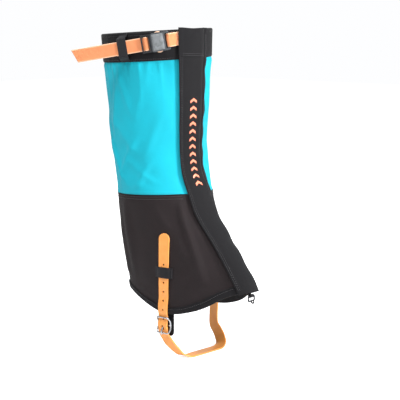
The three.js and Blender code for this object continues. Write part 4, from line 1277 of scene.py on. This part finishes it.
def make_stirrup_keeper():
    half = STIRRUP_WIDTH / 2
    over_strap = ON_PANEL + STIRRUP_THICK + GAP + 0.2 * MM
    reach = half + 6 * MM

    def place(u, v, w):
        y = (2 * u - 1) * reach
        z = mix(*STIRRUP_KEEPER_Z, v)
        base = mix(over_strap, ON_PANEL, smoothstep(half + 0.4 * MM, half + 2.6 * MM, np.abs(y)))
        return on_body(beside_strap(y, z), z, base + w * FABRIC)

    keeper = sheet("stirrup_keeper_webbing", (2 * reach, 0.015), place, 60, 20)
    finished(keeper, BLACK_WEBBING, "black_fabric", ["stirrup_keeper"])
    z = np.linspace(STIRRUP_KEEPER_Z[0] + 1.5 * MM, STIRRUP_KEEPER_Z[1] - 1.5 * MM, 12)
    rows = [body_row(beside_strap(y, z), z, ON_PANEL + FABRIC) for y in (-12.6 * MM, 12.6 * MM)]
    sewn("stirrup_keeper_stitches", rows, size=(2.2 * MM, 1.7 * MM))


def make_stirrup_tab():
    """The tab behind the buckle, with a rounded lower end and a row of stitches along it."""
    half, radius, bottom, top, seam = 14 * MM, 7 * MM, 28 * MM, 86 * MM, 2.5 * MM

    def place(u, v, w):
        z = mix(bottom, top, v)
        below = np.clip(bottom + radius - z, 0, radius)
        reach = half - radius + np.sqrt(np.maximum(radius**2 - below**2, 1e-9))
        return on_body(beside_strap((2 * u - 1) * reach, z), z, TAB_OUT + w * FABRIC)

    tab = sheet("stirrup_tab_cloth", (2 * half, top - bottom), place, 30, 70)
    finished(tab, BLACK, "black_fabric", ["stirrup_tab"])
    y, drop = rounded_box(np.linspace(0, math.pi, 40), half - seam, radius - seam, 0.5)
    z = bottom + radius - drop
    sewn("stirrup_tab_stitches", [body_row(beside_strap(y, z), z, TAB_OUT + FABRIC)])


def buckle_axes():
    """The stirrup buckle's frame: x across it to the front, y up, z away from the leg."""
    turn = turn_at(STIRRUP_Y, STIRRUP_BUCKLE_Z)
    out = unit(body_normal(turn, STIRRUP_BUCKLE_Z) * (1, 1, 0))
    up = np.array([0, 0, 1.0])
    return on_body(turn, STIRRUP_BUCKLE_Z, BAR_OUT), np.cross(up, out), up, out


in_buckle = placed_in(*buckle_axes())


def rounded_ring(half_x, half_y, count=120):
    """A rounded rectangle's outline: evenly spaced x and y."""
    angle = np.linspace(0, 2 * math.pi, count, endpoint=False) + 0.02
    outline = np.column_stack(rounded_box(angle, half_x, half_y, 0.3))
    loop = np.concatenate([outline, outline[:1]])
    return resampled(loop, np.linspace(0, length_of(loop), count, endpoint=False)).T


def webbing_loop(name, at, half, radii, top, lean=0.0):
    """Webbing looped round a bar and led up behind it: at(x, y, z) places it in the bar's frame."""
    arc = np.linspace(math.pi, 2.5 * math.pi, 30)
    inside, outside = (
        [(-radius, top)] + [(radius * math.cos(a), radius * math.sin(a)) for a in arc] for radius in radii
    )
    profile = np.array(outside + inside[::-1])
    z, y = profile.T
    x = np.linspace(-half, half, 14)[:, None]
    cos, sin = math.cos(lean), math.sin(lean)
    uv = np.stack(np.broadcast_arrays(x + half, travelled(profile)), axis=-1)
    return loft(name, at(x, y * cos - z * sin, y * sin + z * cos), uv)


def make_stirrup_buckle():
    x, y = rounded_ring(BAR_REACH, BAR_REACH)
    rise = OUTER_BAR_RISE * (y / BAR_REACH) ** 2
    ring = tube("ring", in_buckle(x, y, rise), WIRE, closed=True)
    centre = tube("bar", in_buckle(np.linspace(-BAR_REACH, BAR_REACH, 9), 0, 0), WIRE)
    finished(joined("stirrup_buckle_wire", [ring, centre]), STEEL, "steel", ["stirrup_buckle"])
    make_prong()
    loop = webbing_loop("stirrup_bar_webbing", in_buckle, STIRRUP_WIDTH / 2, LOOP_RADIUS, 13 * MM)
    finished(loop, BLACK_WEBBING, "black_fabric", ["stirrup_bar_loop"])


def make_prong():
    """The prong: an eye round the centre bar and a flat pin that rests on the outer bar."""
    thick, width = 1.1 * MM, 2.4 * MM
    radius = LOOP_RADIUS[0] + thick / 2
    eye = [(radius * math.cos(a), radius * math.sin(a)) for a in np.linspace(-0.4, 1.35, 26)[:7:-1] * math.pi]
    pin = np.array([(0.9, 1.9), (2.4, 2.3), (3.9, 4.6), (6.4, 6.1)]) * MM
    rest = OUTER_BAR_RISE + WIRE + GAP + thick / 2
    pin = np.concatenate([pin, [(9.5 * MM, rest), (BAR_REACH + 2.2 * MM, rest)]])
    line = np.concatenate([eye, smooth_line(pin, 40)[4:]])
    normals = normals_of(line)
    across, through = rounded_box(np.linspace(0, 2 * math.pi, 16, endpoint=False), width / 2, thick / 2, 0.5)
    down, out = (line[:, [k]] + normals[:, [k]] * through for k in (0, 1))
    prong = loft("stirrup_prong_bar", in_buckle(across * np.linspace(1, 0.8, len(line))[:, None], -down, out))
    finished(prong, STEEL, "steel", ["stirrup_prong"], body="prong")


# ---------------------------------------------------------------- lace hook

LACE_TURN = 6


def make_lace_hook():
    """A bent wire hook that swings in a webbing tab."""
    at = on_body(LACE_TURN, hem_z(LACE_TURN) - 3.2 * MM, TAB_OUT)
    in_hook = placed_in(at, *np.array([(1, 0, 0), (0, 0, 1), (0, -1, 0)]))
    half_y, radius = 3.4 * MM, 1 * MM
    x, y = rounded_ring(6 * MM, half_y, 80)
    ring = tube("ring", in_hook(x, y - half_y, 0), radius, closed=True, points=12)
    below_ring = [(0.4, -0.4), (-1.8, 0.4), (-2.8, 2.4), (-1.4, 4.2), (1.0, 4.6)]
    bend = smooth_line(np.array(below_ring) * MM - (2 * half_y, 0), 36)
    taper = radius * np.sqrt(1 - np.linspace(0, 1, 36) ** 10 * 0.9)
    hook = tube("hook", in_hook(0, *bend.T), taper, points=12)
    finished(joined("lace_hook_wire", [ring, hook]), BLACK_METAL, "black_metal", ["lace_hook"], body="hook")

    above, below = (body_point(LACE_TURN, hem_z(LACE_TURN) + rise) for rise in (10 * MM, -3 * MM))
    up = above - below
    radii = (radius + 0.35 * MM, radius + 1.25 * MM)
    tab = webbing_loop("lace_tab_webbing", in_hook, 3.6 * MM, radii, 16 * MM, math.atan2(-up[1], up[2]))
    finished(tab, BLACK_WEBBING, "black_fabric", ["lace_hook_tab"])


# ---------------------------------------------------------------- camera, lights and floor


CAMERA_AT = (-1.1745, -1.1711, 0.4548)
CAMERA_YAW, CAMERA_PITCH = math.radians(42.816), math.radians(-8.615)
CAMERA_LENS = 106.9
LIGHTS_AIM = Vector((0, 0, 0.24))


def aim(obj, direction):
    obj.rotation_euler = Vector(direction).to_track_quat("-Z", "Y").to_euler()


def make_camera():
    """Level with the top of the gaiter, before its outer front, looking a little down."""
    camera = added("camera", bpy.data.cameras.new("camera"))
    camera.location = CAMERA_AT
    level = math.cos(CAMERA_PITCH)
    aim(camera, (level * math.cos(CAMERA_YAW), level * math.sin(CAMERA_YAW), math.sin(CAMERA_PITCH)))
    camera.data.sensor_width = 36
    camera.data.lens = CAMERA_LENS
    bpy.context.scene.camera = camera


def area_light(name, location, size, power):
    light = bpy.data.lights.new(name, "AREA")
    light.shape = "DISK"
    light.size = size
    light.energy = power
    lamp = added(name, light)
    lamp.location = location
    aim(lamp, LIGHTS_AIM - Vector(location))


def backdrop_glow(tree, as_light, as_backdrop):
    """A strength that is one thing as a light on the object and another as the white backdrop behind it."""
    seen = tree.nodes.new("ShaderNodeLightPath")
    strength = tree.nodes.new("ShaderNodeMapRange")
    strength.inputs["To Min"].default_value = as_light
    strength.inputs["To Max"].default_value = as_backdrop
    tree.links.new(seen.outputs["Is Camera Ray"], strength.inputs["Value"])
    return strength.outputs["Result"]


def make_studio():
    """Soft light on a plain white floor, before a plain white backdrop."""
    area_light("key", (0.5, -2.1, 1.0), 0.6, 62)
    area_light("back_fill", (1.2, 1.6, 1.4), 1.2, 14)
    area_light("overhead", (-0.9, -0.4, 2.3), 1.0, 48)
    world = bpy.data.worlds.new("studio")
    bpy.context.scene.world = world
    bpy.context.scene.view_settings.view_transform = "Standard"
    world.use_nodes = True
    background = world.node_tree.nodes["Background"]
    background.inputs["Color"].default_value = (0.985, 0.99, 1.0, 1)
    strength = backdrop_glow(world.node_tree, 0.34, 1.0)
    world.node_tree.links.new(strength, background.inputs["Strength"])

    paper = Finish("floor", "f8f8f8", "f3f3f3", Roughness=0.9)
    paper.shader.inputs["Emission Color"].default_value = (0.97, 0.98, 1.0, 1)
    paper.feed(paper.shader.inputs["Emission Strength"], backdrop_glow(paper.tree, 0.0, 0.72))
    grain = paper.noise(paper.place(), 0.02, 3.0)
    mesh = bpy.data.meshes.new("floor")
    reach, low = 6.0, CAD_BOUNDS[0][2] - 0.3 * MM
    corners = [(x * reach, y * reach, low) for x, y in ((-1, -1), (1, -1), (1, 1), (-1, 1))]
    mesh.from_pydata(corners, [], [(0, 1, 2, 3)])
    mesh.materials.append(paper.done(paper.dyed(grain)))
    added("floor", mesh)


# ---------------------------------------------------------------- assembly

make_camera()
make_studio()
upper_cloth, lower_cloth = make_panels()
make_seam()
make_bands()
flap_cloth = make_flap()
make_flap_print()
make_margin()
make_fastener()
make_top_keeper()
make_top_strap()
make_buckle_webbing()
make_buckle()
make_stirrup_strap()
make_stirrup_keeper()
make_stirrup_tab()
make_stirrup_buckle()
make_lace_hook()
